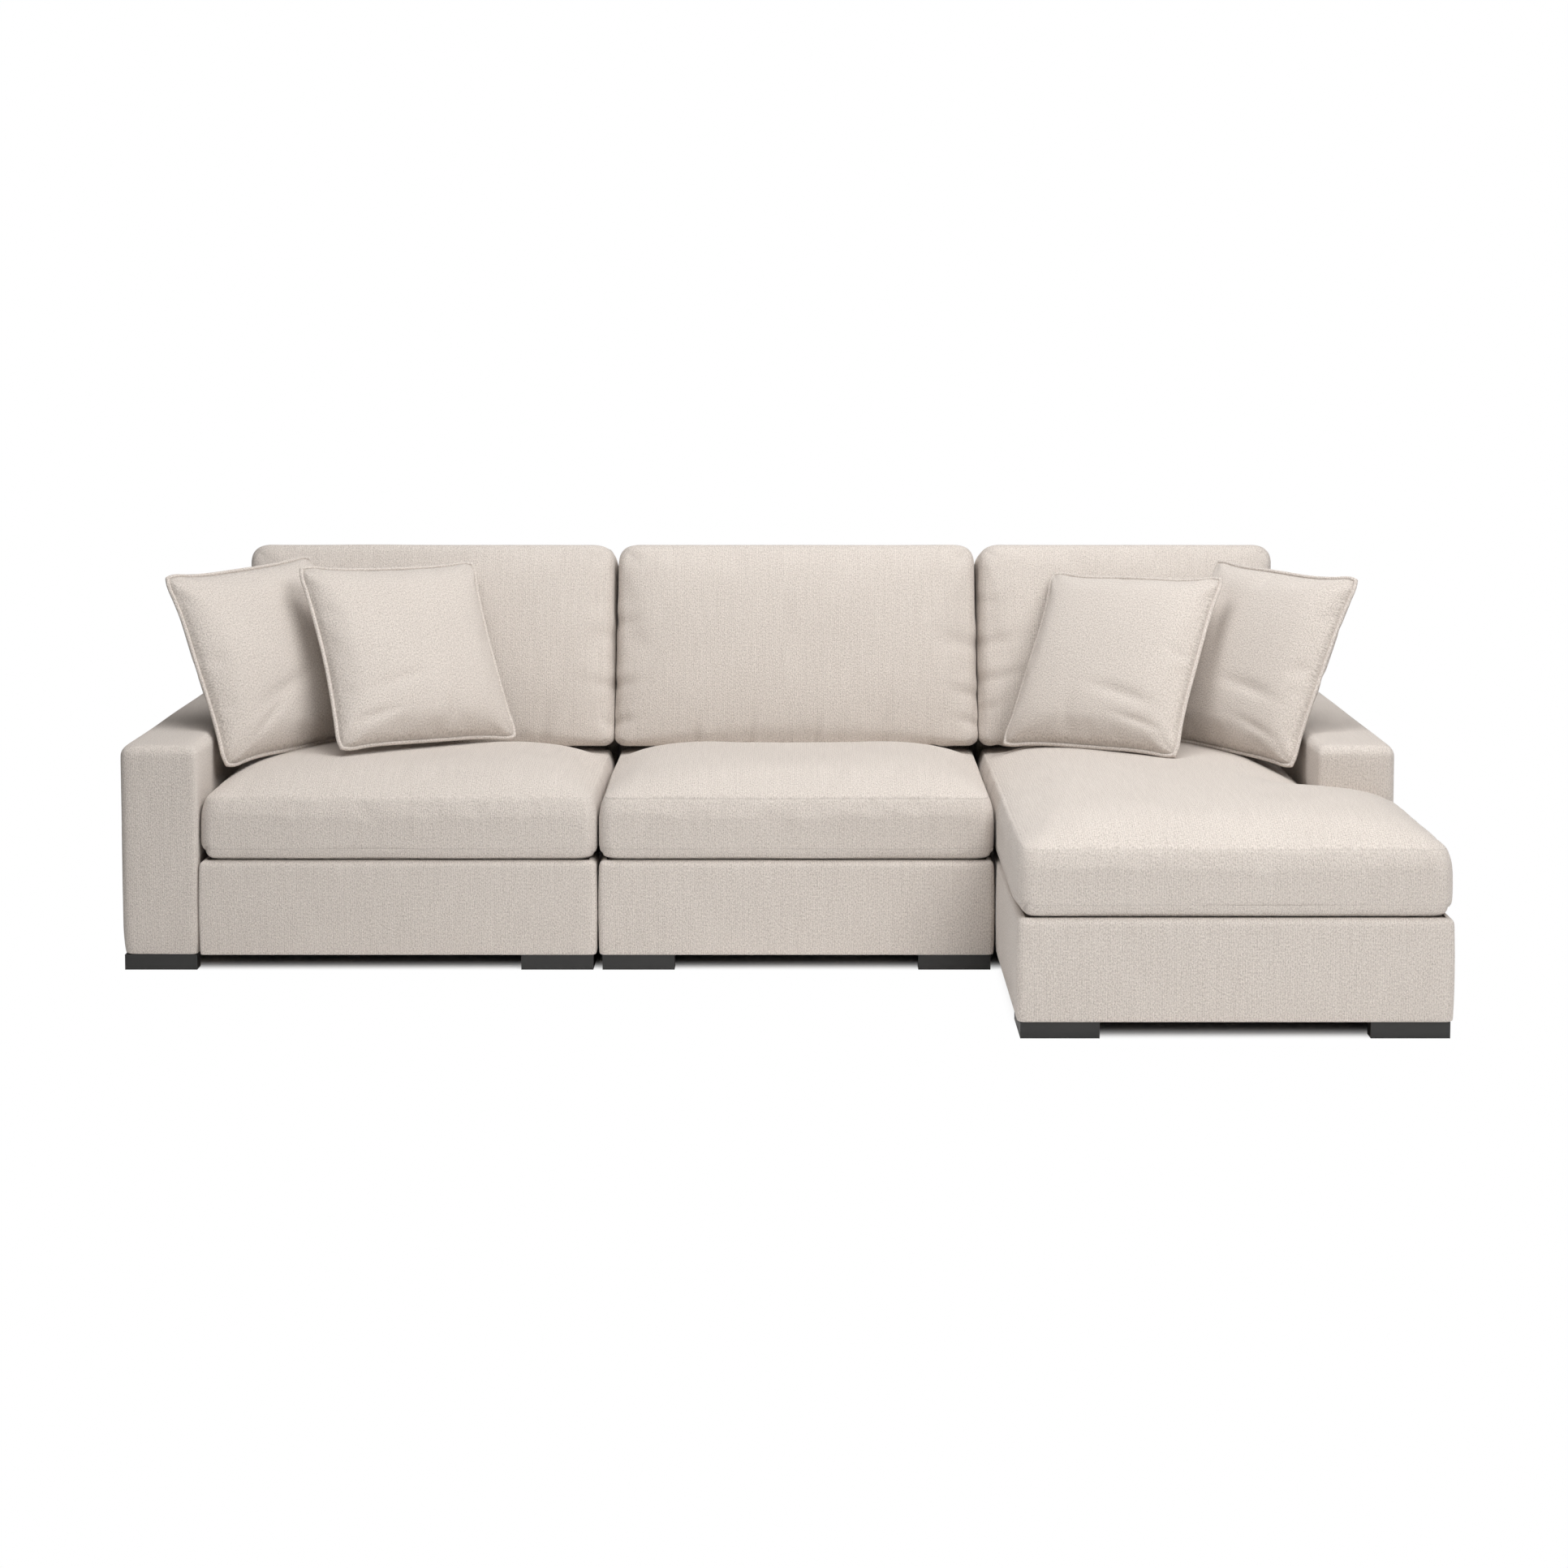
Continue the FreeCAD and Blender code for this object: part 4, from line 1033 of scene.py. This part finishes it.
class SOFA_OT_seat_cushions(bpy.types.Operator):
    """The three loose seat cushions, inflated, with their sewn seams"""
    bl_idname = "sofa.seat_cushions"
    bl_label = "Seat cushions"

    # The seams' heights above the cushion's underside, and their depths as shares of a full seam
    lower_seam = 0.027
    upper_seam = 0.148
    lower_depth = 0.35
    upper_depth = {"left": 0.15, "middle": 0.6, "chaise": 0.35}
    # Behind the seat's depth, the back cushion presses the crown to a share of itself
    pressed = 0.26
    # How far in from the sides the crown still rises, and the corners' radius in plan
    reach = 0.25
    corner = 0.036
    # Distance from the arm
    arm_gap = 0.003
    # A side's section, from the underside to the upper seam: height, and how far it is drawn in
    section = (
        (0.0, 0.013), (0.003, 0.0075), (0.008, 0.0032), (0.015, 0.0012), (0.022, 0.0006),
        (0.027, 0.0008), (0.032, 0.0004), (0.050, 0.0), (0.070, 0.0), (0.090, 0.0003),
        (0.108, 0.0014), (0.122, 0.0036), (0.133, 0.0066), (0.141, 0.0094), (0.148, 0.0122),
    )
    # How the lower front corners are rounded: width and height, at the left and at the right
    feet = {
        "left": ((0.030, 0.046), (0.017, 0.022)),
        "middle": ((0.017, 0.022), (0.017, 0.022)),
        "chaise": ((0.033, 0.044), (0.026, 0.034)),
    }
    # The seams' widths, and how fast they fade inwards over the top and towards the rear
    lower_width = 0.0014
    upper_width = 0.0016
    fade_inwards = 0.002
    fade_rearwards = 0.12
    # How far from the front the rounded lower corners reach, and how near a side its wall is
    foot_reach = 0.16
    wall_band = 0.004
    # A slow unevenness of the faces, and how far the lower edge waves upwards
    unevenness = 0.0016
    lower_wave = 0.0030
    # The cushion keeps this far inside its solid at the sides, and may rise this far above it
    margin = np.array([0.0004, 0.0004, 0.0])
    headroom = np.array([0, 0, 0.012])

    def execute(self, context):
        sizes = context.scene.sofa_sizes
        made = [self.start(name, sizes) for name in MODULES]
        inflate([item[0] for item in made], 2.0, 0.5 * sizes.swell, slack=0.004)
        for name, (piece, low, high, notch) in zip(MODULES, made):
            self.complete(name, piece, low, high, notch, sizes)
        return {"FINISHED"}

    def start(self, name, sizes):
        """The stuffed shape, with its underside, its lower seam, its upper seam and the part under
        the back cushion held."""
        low, high = box_of(name + "_seat_cover")
        notch = None
        if name == "chaise":
            notch = box_of("right_arm_cover")[0][:2] - self.arm_gap
        lower = low[2] + self.lower_seam
        upper = low[2] + self.upper_seam
        rows = [(low[2] + z, inset) for z, inset in self.section]
        piece, rest = block(name + "_seat_cushion", low, high, rows, 0.0, self.reach, (self.corner,) * 4,
                            sizes.lattice, notch)
        x, y, z = rest.T
        line = seat_front() + SEAT_DEPTH
        rise = dome(x - low[0], self.reach) * dome(high[0] - x, self.reach) * dome(y - low[1], self.reach)
        if notch is not None:
            rise = rise * dome(from_notch(x, y, notch), self.reach)
        rise = rise * np.maximum(self.pressed * dome(high[1] - y, 0.05), dome(line - y, 0.15))
        points = read_points(piece.data)
        points[:, 2] += np.where(z >= upper - 1e-7, rise * sizes.crown, 0)
        write_points(piece, points)
        edge = np.minimum.reduce([x - low[0], high[0] - x, y - low[1], high[1] - y]) < 1e-6
        if notch is not None:
            edge |= (np.abs(x - notch[0]) < 1e-6) & (y >= notch[1] - 1e-6)
            edge |= (np.abs(y - notch[1]) < 1e-6) & (x >= notch[0] - 1e-6)
        on_top = z >= upper - 1e-6
        held = (z < lower + 1e-6) | (on_top & (edge | (y > line - 0.01)))
        hold(piece, held.astype(float))
        return piece, low, high, notch

    def complete(self, name, piece, low, high, notch, sizes):
        """Seams as grooves, which fade towards the rear, then the slow unevenness, the rounded
        lower front corners and the waving lower edge."""
        points, normal, rest = finished_surface(piece, 2)
        x, y, z = rest.T
        lower = low[2] + self.lower_seam
        upper = low[2] + self.upper_seam
        side = np.minimum.reduce([x - low[0], high[0] - x, y - low[1], high[1] - y])
        if notch is not None:
            side = np.minimum(side, from_notch(x, y, notch))
        walls = side < self.wall_band
        seams = self.lower_depth * groove(z - lower, self.lower_width)
        upper_seam = groove(z - upper, self.upper_width) * np.exp(-side / self.fade_inwards)
        seams += self.upper_depth[name] * upper_seam
        seams *= walls * np.exp(-np.maximum(y - low[1] - 0.01, 0) / self.fade_rearwards)
        points -= normal * (seams * sizes.seam)[:, None]
        points += normal * (self.unevenness * wobble(rest, 7 + len(name), 0.28) * (z > lower))[:, None]
        forward = np.clip(1 - (y - low[1]) / self.foot_reach, 0, 1)
        for side_x, inward, radii in zip((low[0], high[0]), (1, -1), self.feet[name]):
            points[:, 0], points[:, 2] = soften(points[:, 0], points[:, 2], (side_x, low[2]),
                                                (inward, 1), radii, forward)
        under = walls & (z < lower - 0.002)
        points[:, 2] += np.where(under, self.lower_wave * (1 + wobble(rest, 11, 0.2)), 0)
        write_points(piece, np.clip(points, low + self.margin, high - self.margin + self.headroom))
        # The seams' groove depths, which the chenille also turns into painted shade along the seams
        store(piece, "seam", seams)
        clothe(piece, chenille("ribbed chenille"), name + "_seat_cushion", "upholstery",
               name + "_seat_cover", name + "_seat_core")


class SOFA_OT_back_cushions(bpy.types.Operator):
    """The three loose back cushions, leaning on the backs"""
    bl_idname = "sofa.back_cushions"
    bl_label = "Back cushions"

    thick = 0.235
    # Heights in the room
    bottom = 0.441
    top = 0.962
    # How far a side swells past its module, towards the next cushion
    snug = 0.0022
    # How far an end cushion leaves the arm at its foot, and passes over it at its top
    clear = 0.014
    lap = 0.022
    # Where the cushion is widest, as a share of its thickness
    widest = 0.62
    # Lattice lines through the thickness, as shares of it. The rear seam is on one of them
    layers = np.array([0.125, 0.145, 0.18, 0.23, 0.30, 0.40, 0.50, 0.60, 0.70, 0.80, 0.88, 0.93, 0.965])
    seam_layer = 9
    # How far the sides are drawn in, at shares of the thickness
    section = (
        (0.125, 0.0150), (0.145, 0.0105), (0.18, 0.0055), (0.23, 0.0018), (0.30, 0.0),
        (0.70, 0.0), (0.88, 0.005), (0.96, 0.016), (1.0, 0.034),
    )
    # How far in from each edge a face still rises: two sides, foot and top
    front_reach = (0.20, 0.20, 0.22, 0.24)
    rear_reach = (0.05, 0.05, 0.05, 0.05)
    front_gap = 0.002
    # Corner radii of the outline, at the foot and at the top
    foot_corner = 0.028
    top_corner = 0.052
    seam_width = 0.0024
    # A slow unevenness, and its share behind the front face
    unevenness = 0.0022
    rear_share = 0.4
    front_depth = 0.05
    # How far back the folds run before they fade, and how fast they do
    fold_depth = 0.09
    fold_fade = 0.03

    def execute(self, context):
        sizes = context.scene.sofa_sizes
        made = [self.start(name, sizes) for name in MODULES]
        inflate([item[0] for item in made], 2.0, 0.5 * sizes.swell, slack=0.006)
        for name, (piece, low, high) in zip(MODULES, made):
            self.complete(name, piece, low, high, sizes)
        return {"FINISHED"}

    def to_world(self, points):
        """From cushion coordinates (across, behind the front face, up the lean) to the room."""
        x, t, v = points.T
        front = seat_front() + SEAT_DEPTH
        sine, cosine = math.sin(LEAN), math.cos(LEAN)
        return np.stack([x, front + v * sine + t * cosine, self.bottom + v * cosine - t * sine], axis=1)

    def sides(self, name):
        """Where a cushion starts and ends across the sofa: at the arm, or a little past its module."""
        low, high = box_of(name + "_seat_cover")
        x_lo, x_hi = low[0] - self.snug, high[0] + self.snug
        if name == "left":
            x_lo = box_of("left_arm_cover")[1][0]
        if name == "chaise":
            x_lo = box_of("chaise_base_cover")[0][0] - self.snug
            x_hi = box_of("right_arm_cover")[0][0]
        return x_lo, x_hi

    def start(self, name, sizes):
        """Lattice (across, behind the front face, up the lean), whose sides are drawn in towards
        both faces, whose faces are domes, and whose underside is level in the room."""
        low, high = box_of(name + "_back_cushion_cover")
        x_lo, x_hi = self.sides(name)
        rise = self.top - self.bottom + self.thick * (1 - self.widest) * math.sin(LEAN)
        height = rise / math.cos(LEAN)
        depths = self.thick * self.layers
        xs = graded(x_lo, x_hi, sizes.lattice)
        vs = graded(0.0, height, sizes.lattice)
        solid = np.ones((len(xs) - 1, len(depths) - 1, len(vs) - 1), bool)
        piece, rest = lattice_piece(name + "_back_cushion", (xs, depths, vs), solid)
        x, t, v = rest.T.copy()
        drawn = np.interp(t / self.thick, *zip(*self.section))
        front = t <= depths[0] + 1e-9
        rear = t >= depths[-1] - 1e-9
        bulge = hump(x, v, (x_lo, 0), (x_hi, height), self.front_reach) * (depths[0] - self.front_gap)
        hollow = hump(x, v, (x_lo, 0), (x_hi, height), self.rear_reach) * (self.thick - depths[-1])
        t = t - np.where(front, bulge, 0) + np.where(rear, hollow, 0)
        for edge, inward in ((x_lo, 1), (x_hi, -1)):
            x, v = round_corner(x, v, (edge, 0), (inward, 1), self.foot_corner)
            x, v = round_corner(x, v, (edge, height), (inward, -1), self.top_corner)
        middle = (x_lo + x_hi) / 2
        half = (x_hi - x_lo) / 2
        x = middle + (x - middle) * (1 - drawn / half)
        v = height / 2 + (v - height / 2) * (1 - drawn / (height / 2))
        taper = self.clear - (self.clear + self.lap) * v / height
        if name == "left":
            x = x + (x_hi - x) / (x_hi - x_lo) * taper
        if name == "chaise":
            x = x - (x - x_lo) / (x_hi - x_lo) * taper
        slant = t * math.tan(LEAN)
        v = slant + v * (1 - slant / height)
        write_points(piece, self.to_world(np.stack([x, t, v], axis=1)))
        store(piece, "rest", rest - (x_lo, 0.0, 0.0))
        weights = np.zeros(len(rest))
        weights[rest[:, 1] > depths[self.seam_layer] - 1e-6] = 1.0
        weights[rest[:, 2] < 1e-6] = 0.7
        hold(piece, weights)
        return piece, low, high

    def folds(self, name, rest, width):
        """The depth of the folds, fading behind the front. A foot fold leans by an eighth and dies
        out upwards. A side fold slopes by a fifth and dies out inwards."""
        u, t, v = rest.T
        dent = np.zeros(len(rest))
        for place, span, tall, deep in FOLDS[name]["foot"]:
            dent += deep * crease(u - place - 0.12 * v, span) * groove(v, tall) * (t < 0.10)
        for place, span, wide, deep in FOLDS[name]["side_low"]:
            dent += deep * crease(v - place - 0.2 * u, span) * groove(u, wide)
        for place, span, wide, deep in FOLDS[name]["side_high"]:
            dent += deep * crease(v - place - 0.2 * (width - u), span) * groove(u - width, wide)
        return dent * np.exp(-np.maximum(t - self.fold_depth, 0) / self.fold_fade)

    def complete(self, name, piece, low, high, sizes):
        """The rear seam, the folds and a slow unevenness, kept off the seat and the neighbours."""
        points, normal, rest = finished_surface(piece, 2)
        depth = rest[:, 1]
        seam = groove(depth - self.thick * self.layers[self.seam_layer], self.seam_width)
        points -= normal * (seam * sizes.seam + self.folds(name, rest, high[0] - low[0]))[:, None]
        uneven = self.unevenness * wobble(rest, 40 + len(name), 0.24)
        points += normal * (uneven * np.where(depth < self.front_depth, 1, self.rear_share))[:, None]
        points[:, 2] = np.maximum(points[:, 2], low[2] - 0.0005)
        points[:, 0] = np.clip(points[:, 0], low[0] - self.snug, high[0] + self.snug)
        write_points(piece, points)
        # The rear seam's groove depth, which the chenille also turns into painted shade along the seam
        store(piece, "seam", seam)
        clothe(piece, chenille("ribbed chenille"), name + "_back_cushion", "upholstery",
               name + "_back_cushion_cover", name + "_back_cushion_core")


# Soft folds of the back cushions. Foot: place across, half-width, height, depth.
# Sides: height of the fold, half-width, reach inwards, depth. Metres.
FOLDS = {
    "left": {
        "foot": [(0.66, 0.016, 0.08, 0.0025), (0.78, 0.019, 0.10, 0.003)],
        "side_low": [],
        "side_high": [(0.055, 0.015, 0.05, 0.002), (0.16, 0.018, 0.08, 0.003), (0.30, 0.020, 0.06, 0.0025)],
    },
    "middle": {
        "foot": [(0.205, 0.012, 0.060, 0.005), (0.355, 0.011, 0.075, 0.006), (0.530, 0.011, 0.065, 0.005),
                 (0.715, 0.018, 0.120, 0.006), (0.845, 0.014, 0.070, 0.003)],
        "side_low": [(0.06, 0.014, 0.04, 0.003), (0.165, 0.017, 0.05, 0.0035), (0.34, 0.020, 0.05, 0.003)],
        "side_high": [(0.06, 0.014, 0.04, 0.003), (0.14, 0.017, 0.05, 0.0035), (0.28, 0.020, 0.06, 0.003)],
    },
    "chaise": {
        "foot": [(0.05, 0.014, 0.11, 0.004), (0.12, 0.015, 0.12, 0.004)],
        "side_low": [(0.10, 0.014, 0.05, 0.002), (0.18, 0.018, 0.11, 0.0035), (0.28, 0.019, 0.09, 0.0028),
                     (0.40, 0.018, 0.05, 0.0015)],
        "side_high": [],
    },
}


# Throw pillows: middle across, distance behind the sofa's front, height, then turn, lean, roll
PILLOW_PLACES = {
    "outer_left_pillow": (-1.252, 0.432, 0.706, 53.7, -23.0, -1.7),
    "inner_left_pillow": (-0.902, 0.475, 0.714, 36.1, -29.6, 1.9),
    "inner_right_pillow": (0.904, 0.456, 0.694, -37.0, -32.3, -2.1),
    "outer_right_pillow": (1.259, 0.406, 0.704, -54.5, -25.0, 1.1),
}


def turned(turn, lean, roll):
    """Rotation matrix: about the upright, then about the pillow's width, then in its own plane."""
    a, b, c = (math.radians(angle) for angle in (turn, lean, roll))
    upright = np.array([[math.cos(a), -math.sin(a), 0], [math.sin(a), math.cos(a), 0], [0, 0, 1]])
    width = np.array([[1, 0, 0], [0, math.cos(b), -math.sin(b)], [0, math.sin(b), math.cos(b)]])
    plane = np.array([[math.cos(c), 0, math.sin(c)], [0, 1, 0], [-math.sin(c), 0, math.cos(c)]])
    return upright @ width @ plane


def tube(name, path, radius, around=10):
    """A round cord along a closed path: at each point a circle, spanned by the sideways normal
    and the normal that points along the pillow's thickness."""
    tangent = np.roll(path, -1, axis=0) - np.roll(path, 1, axis=0)
    tangent /= np.linalg.norm(tangent, axis=1)[:, None]
    side = np.cross(tangent, (0.0, 1.0, 0.0))
    side /= np.linalg.norm(side, axis=1)[:, None]
    upward = np.cross(side, tangent)
    angle = np.linspace(0, 2 * math.pi, around, endpoint=False)[None, :, None]
    circle = np.cos(angle) * side[:, None, :] + np.sin(angle) * upward[:, None, :]
    turn = np.arange(around + 1) * 2 * math.pi * radius / around
    return ring_grid(name, path[:, None, :] + radius * circle, turn, path_lengths(path))


class SOFA_OT_throw_pillows(bpy.types.Operator):
    """The four throw pillows with their piping"""
    bl_idname = "sofa.throw_pillows"
    bl_label = "Throw pillows"

    # Half the side, how far the sides draw in, half the thickness, half the band at the seam
    half = 0.2575
    waist = 0.021
    puff = 0.071
    band = 0.0012
    corner = 0.048
    uneven = 0.0045
    # How far the piping lies outside the seam, and how wide and dark the painted shade on the cloth beside it
    # is
    welt_offset = 0.0036
    seam_width = 0.004
    seam_shade = 0.4
    # A slow unevenness of the faces
    rumple = 0.0025

    def execute(self, context):
        sizes = context.scene.sofa_sizes
        pieces = [self.start(name, seed) for seed, name in enumerate(PILLOWS)]
        inflate(pieces, 3.0, 0.008, slack=0.008, bending=2.0)
        for seed, (name, piece) in enumerate(zip(PILLOWS, pieces)):
            self.complete(name, piece, seed, sizes)
        return {"FINISHED"}

    def on_edge(self, rest):
        """True for the points of the square outline."""
        return np.maximum(np.abs(rest[:, 0]), np.abs(rest[:, 2])) > self.half - 1e-6

    def start(self, name, seed):
        """Two faces between a narrow band at the seam. The sides draw in between the corners as
        one less the fourth power of the place along them, and run a little unevenly. Each face
        rises as the product of two parabolas to the power 0.38."""
        lines = graded(-self.half, self.half, 0.017, (0.0, 0.004, 0.010, 0.019, 0.032))
        depth = np.array([-self.band, 0.0, self.band])
        solid = np.ones((len(lines) - 1, 2, len(lines) - 1), bool)
        piece, rest = lattice_piece(name + "_cushion", (lines, depth, lines), solid)
        x, y, z = rest.T.copy()
        u = x / self.half
        w = z / self.half
        for across in (-1, 1):
            for up in (-1, 1):
                x, z = round_corner(x, z, (across * self.half, up * self.half), (-across, -up), self.corner)
        slack = self.waist + self.uneven * wobble(rest * (1.0, 0.0, 1.0), 90 + seed, 0.2)
        x = x - u * np.abs(u) * slack * (1 - w ** 4)
        z = z - w * np.abs(w) * slack * (1 - u ** 4)
        y = y + np.sign(y) * self.puff * ((1 - u ** 2) * (1 - w ** 2)) ** 0.38
        write_points(piece, np.stack([x, y, z], axis=1))
        hold(piece, self.on_edge(rest).astype(float))
        return piece

    def seam_path(self, piece):
        """The seam's points in order round the pillow, smoothed by cutting corners twice, and
        moved outwards to where the piping lies."""
        rest = read(piece.data.attributes["rest"].data, "vector")
        on_seam = (np.abs(rest[:, 1]) < 1e-6) & self.on_edge(rest)
        order = np.argsort(np.arctan2(rest[on_seam][:, 2], rest[on_seam][:, 0]))
        path = read_points(piece.data)[on_seam][order]
        for _ in range(2):
            ahead = np.roll(path, -1, axis=0)
            path = np.stack([0.75 * path + 0.25 * ahead, 0.25 * path + 0.75 * ahead], axis=1).reshape(-1, 3)
        path[:, [0, 2]] *= 1 + self.welt_offset / np.linalg.norm(path[:, [0, 2]], axis=1)[:, None]
        return path

    def complete(self, name, piece, seed, sizes):
        """Dents in the front face and a slow unevenness, both fading towards the seam, then the
        pillow's place, and its piping."""
        path = self.seam_path(piece)
        points, normal, rest = finished_surface(piece, 2)
        inside = (1 - (rest[:, 0] / self.half) ** 2) * (1 - (rest[:, 2] / self.half) ** 2)
        dents = np.zeros(len(rest))
        for x, z, angle, long, wide, deep in DENTS[name]:
            a, b = rest[:, 0] - x, rest[:, 2] - z
            c, s = math.cos(math.radians(angle)), math.sin(math.radians(angle))
            dents += deep * groove(a * c + b * s, long) * groove(b * c - a * s, wide)
        dents *= (rest[:, 1] < 0) * np.clip(inside * 6, 0, 1)
        uneven = self.rumple * wobble(rest, 60 + seed, 0.2) * np.clip(inside * 3, 0, 1)
        points += normal * (uneven - dents)[:, None]
        x, behind, z, turn, lean, roll = PILLOW_PLACES[name]
        spin = turned(turn, lean, roll)
        centre = np.array([x, box_of("left_arm_cover")[0][1] + behind, z])
        write_points(piece, points @ spin.T + centre)
        margin = self.half - np.maximum(np.abs(rest[:, 0]), np.abs(rest[:, 2]))
        # Painted shade: a dark band on the cloth along the seam beside the piping, kept as the seam attribute
        # that the chenille darkens by
        store(piece, "seam", self.seam_shade * groove(margin, self.seam_width))
        cloth = chenille("pillow chenille", 0.45, 1.1)
        clothe(piece, cloth, name, "upholstery", name + "_cover", name + "_insert")
        welt = tube(name + "_welt", path, sizes.welt)
        write_points(welt, read_points(welt.data) @ spin.T + centre)
        clothe(welt, cloth, name, "welt_cord", name + "_piping")


# Dents in the pillows' faces: place across and up, angle, length, width, depth. Metres.
DENTS = {
    "outer_left_pillow": [(-0.05, -0.10, 20, 0.10, 0.022, 0.006), (-0.12, -0.17, 35, 0.07, 0.015, 0.005),
                          (0.10, 0.06, 75, 0.12, 0.03, 0.006)],
    "inner_left_pillow": [(-0.08, -0.10, 12, 0.09, 0.020, 0.005), (0.06, -0.19, 80, 0.05, 0.016, 0.005),
                          (-0.16, -0.19, 10, 0.06, 0.014, 0.005)],
    "inner_right_pillow": [(0.10, -0.12, -12, 0.09, 0.018, 0.006), (0.15, -0.19, -10, 0.06, 0.012, 0.005),
                           (-0.06, -0.19, 80, 0.05, 0.018, 0.004)],
    "outer_right_pillow": [(0.09, -0.09, -8, 0.08, 0.02, 0.006), (0.14, -0.19, -12, 0.06, 0.014, 0.005),
                           (-0.10, 0.06, 100, 0.12, 0.03, 0.006)],
}


class SOFA_PT_panel(bpy.types.Panel):
    """The sofa's settings and pieces"""
    bl_idname = "SOFA_PT_panel"
    bl_label = "Sectional sofa"
    bl_space_type = "VIEW_3D"
    bl_region_type = "UI"
    bl_category = "Sofa"

    def draw(self, context):
        for group in (context.scene.sofa_sizes, context.scene.sofa_colours):
            for key in group.__annotations__:
                self.layout.prop(group, key)
        for operator in OPERATORS:
            self.layout.operator(operator.bl_idname)


OPERATORS = (
    SOFA_OT_stage, SOFA_OT_frame_finishes, SOFA_OT_bases, SOFA_OT_decks, SOFA_OT_springs, SOFA_OT_dust_cloths,
    SOFA_OT_backs, SOFA_OT_arms, SOFA_OT_seat_cushions, SOFA_OT_back_cushions, SOFA_OT_throw_pillows,
)


def register():
    for kind in (SofaSizes, SofaColours, *OPERATORS, SOFA_PT_panel):
        bpy.utils.register_class(kind)
    bpy.types.Scene.sofa_sizes = PointerProperty(type=SofaSizes)
    bpy.types.Scene.sofa_colours = PointerProperty(type=SofaColours)


def unregister():
    del bpy.types.Scene.sofa_colours
    del bpy.types.Scene.sofa_sizes
    for kind in reversed((SofaSizes, SofaColours, *OPERATORS, SOFA_PT_panel)):
        bpy.utils.unregister_class(kind)


def main():
    register()
    for operator in OPERATORS:
        group, action = operator.bl_idname.split(".")
        getattr(getattr(bpy.ops, group), action)()


if __name__ == "__main__":
    main()
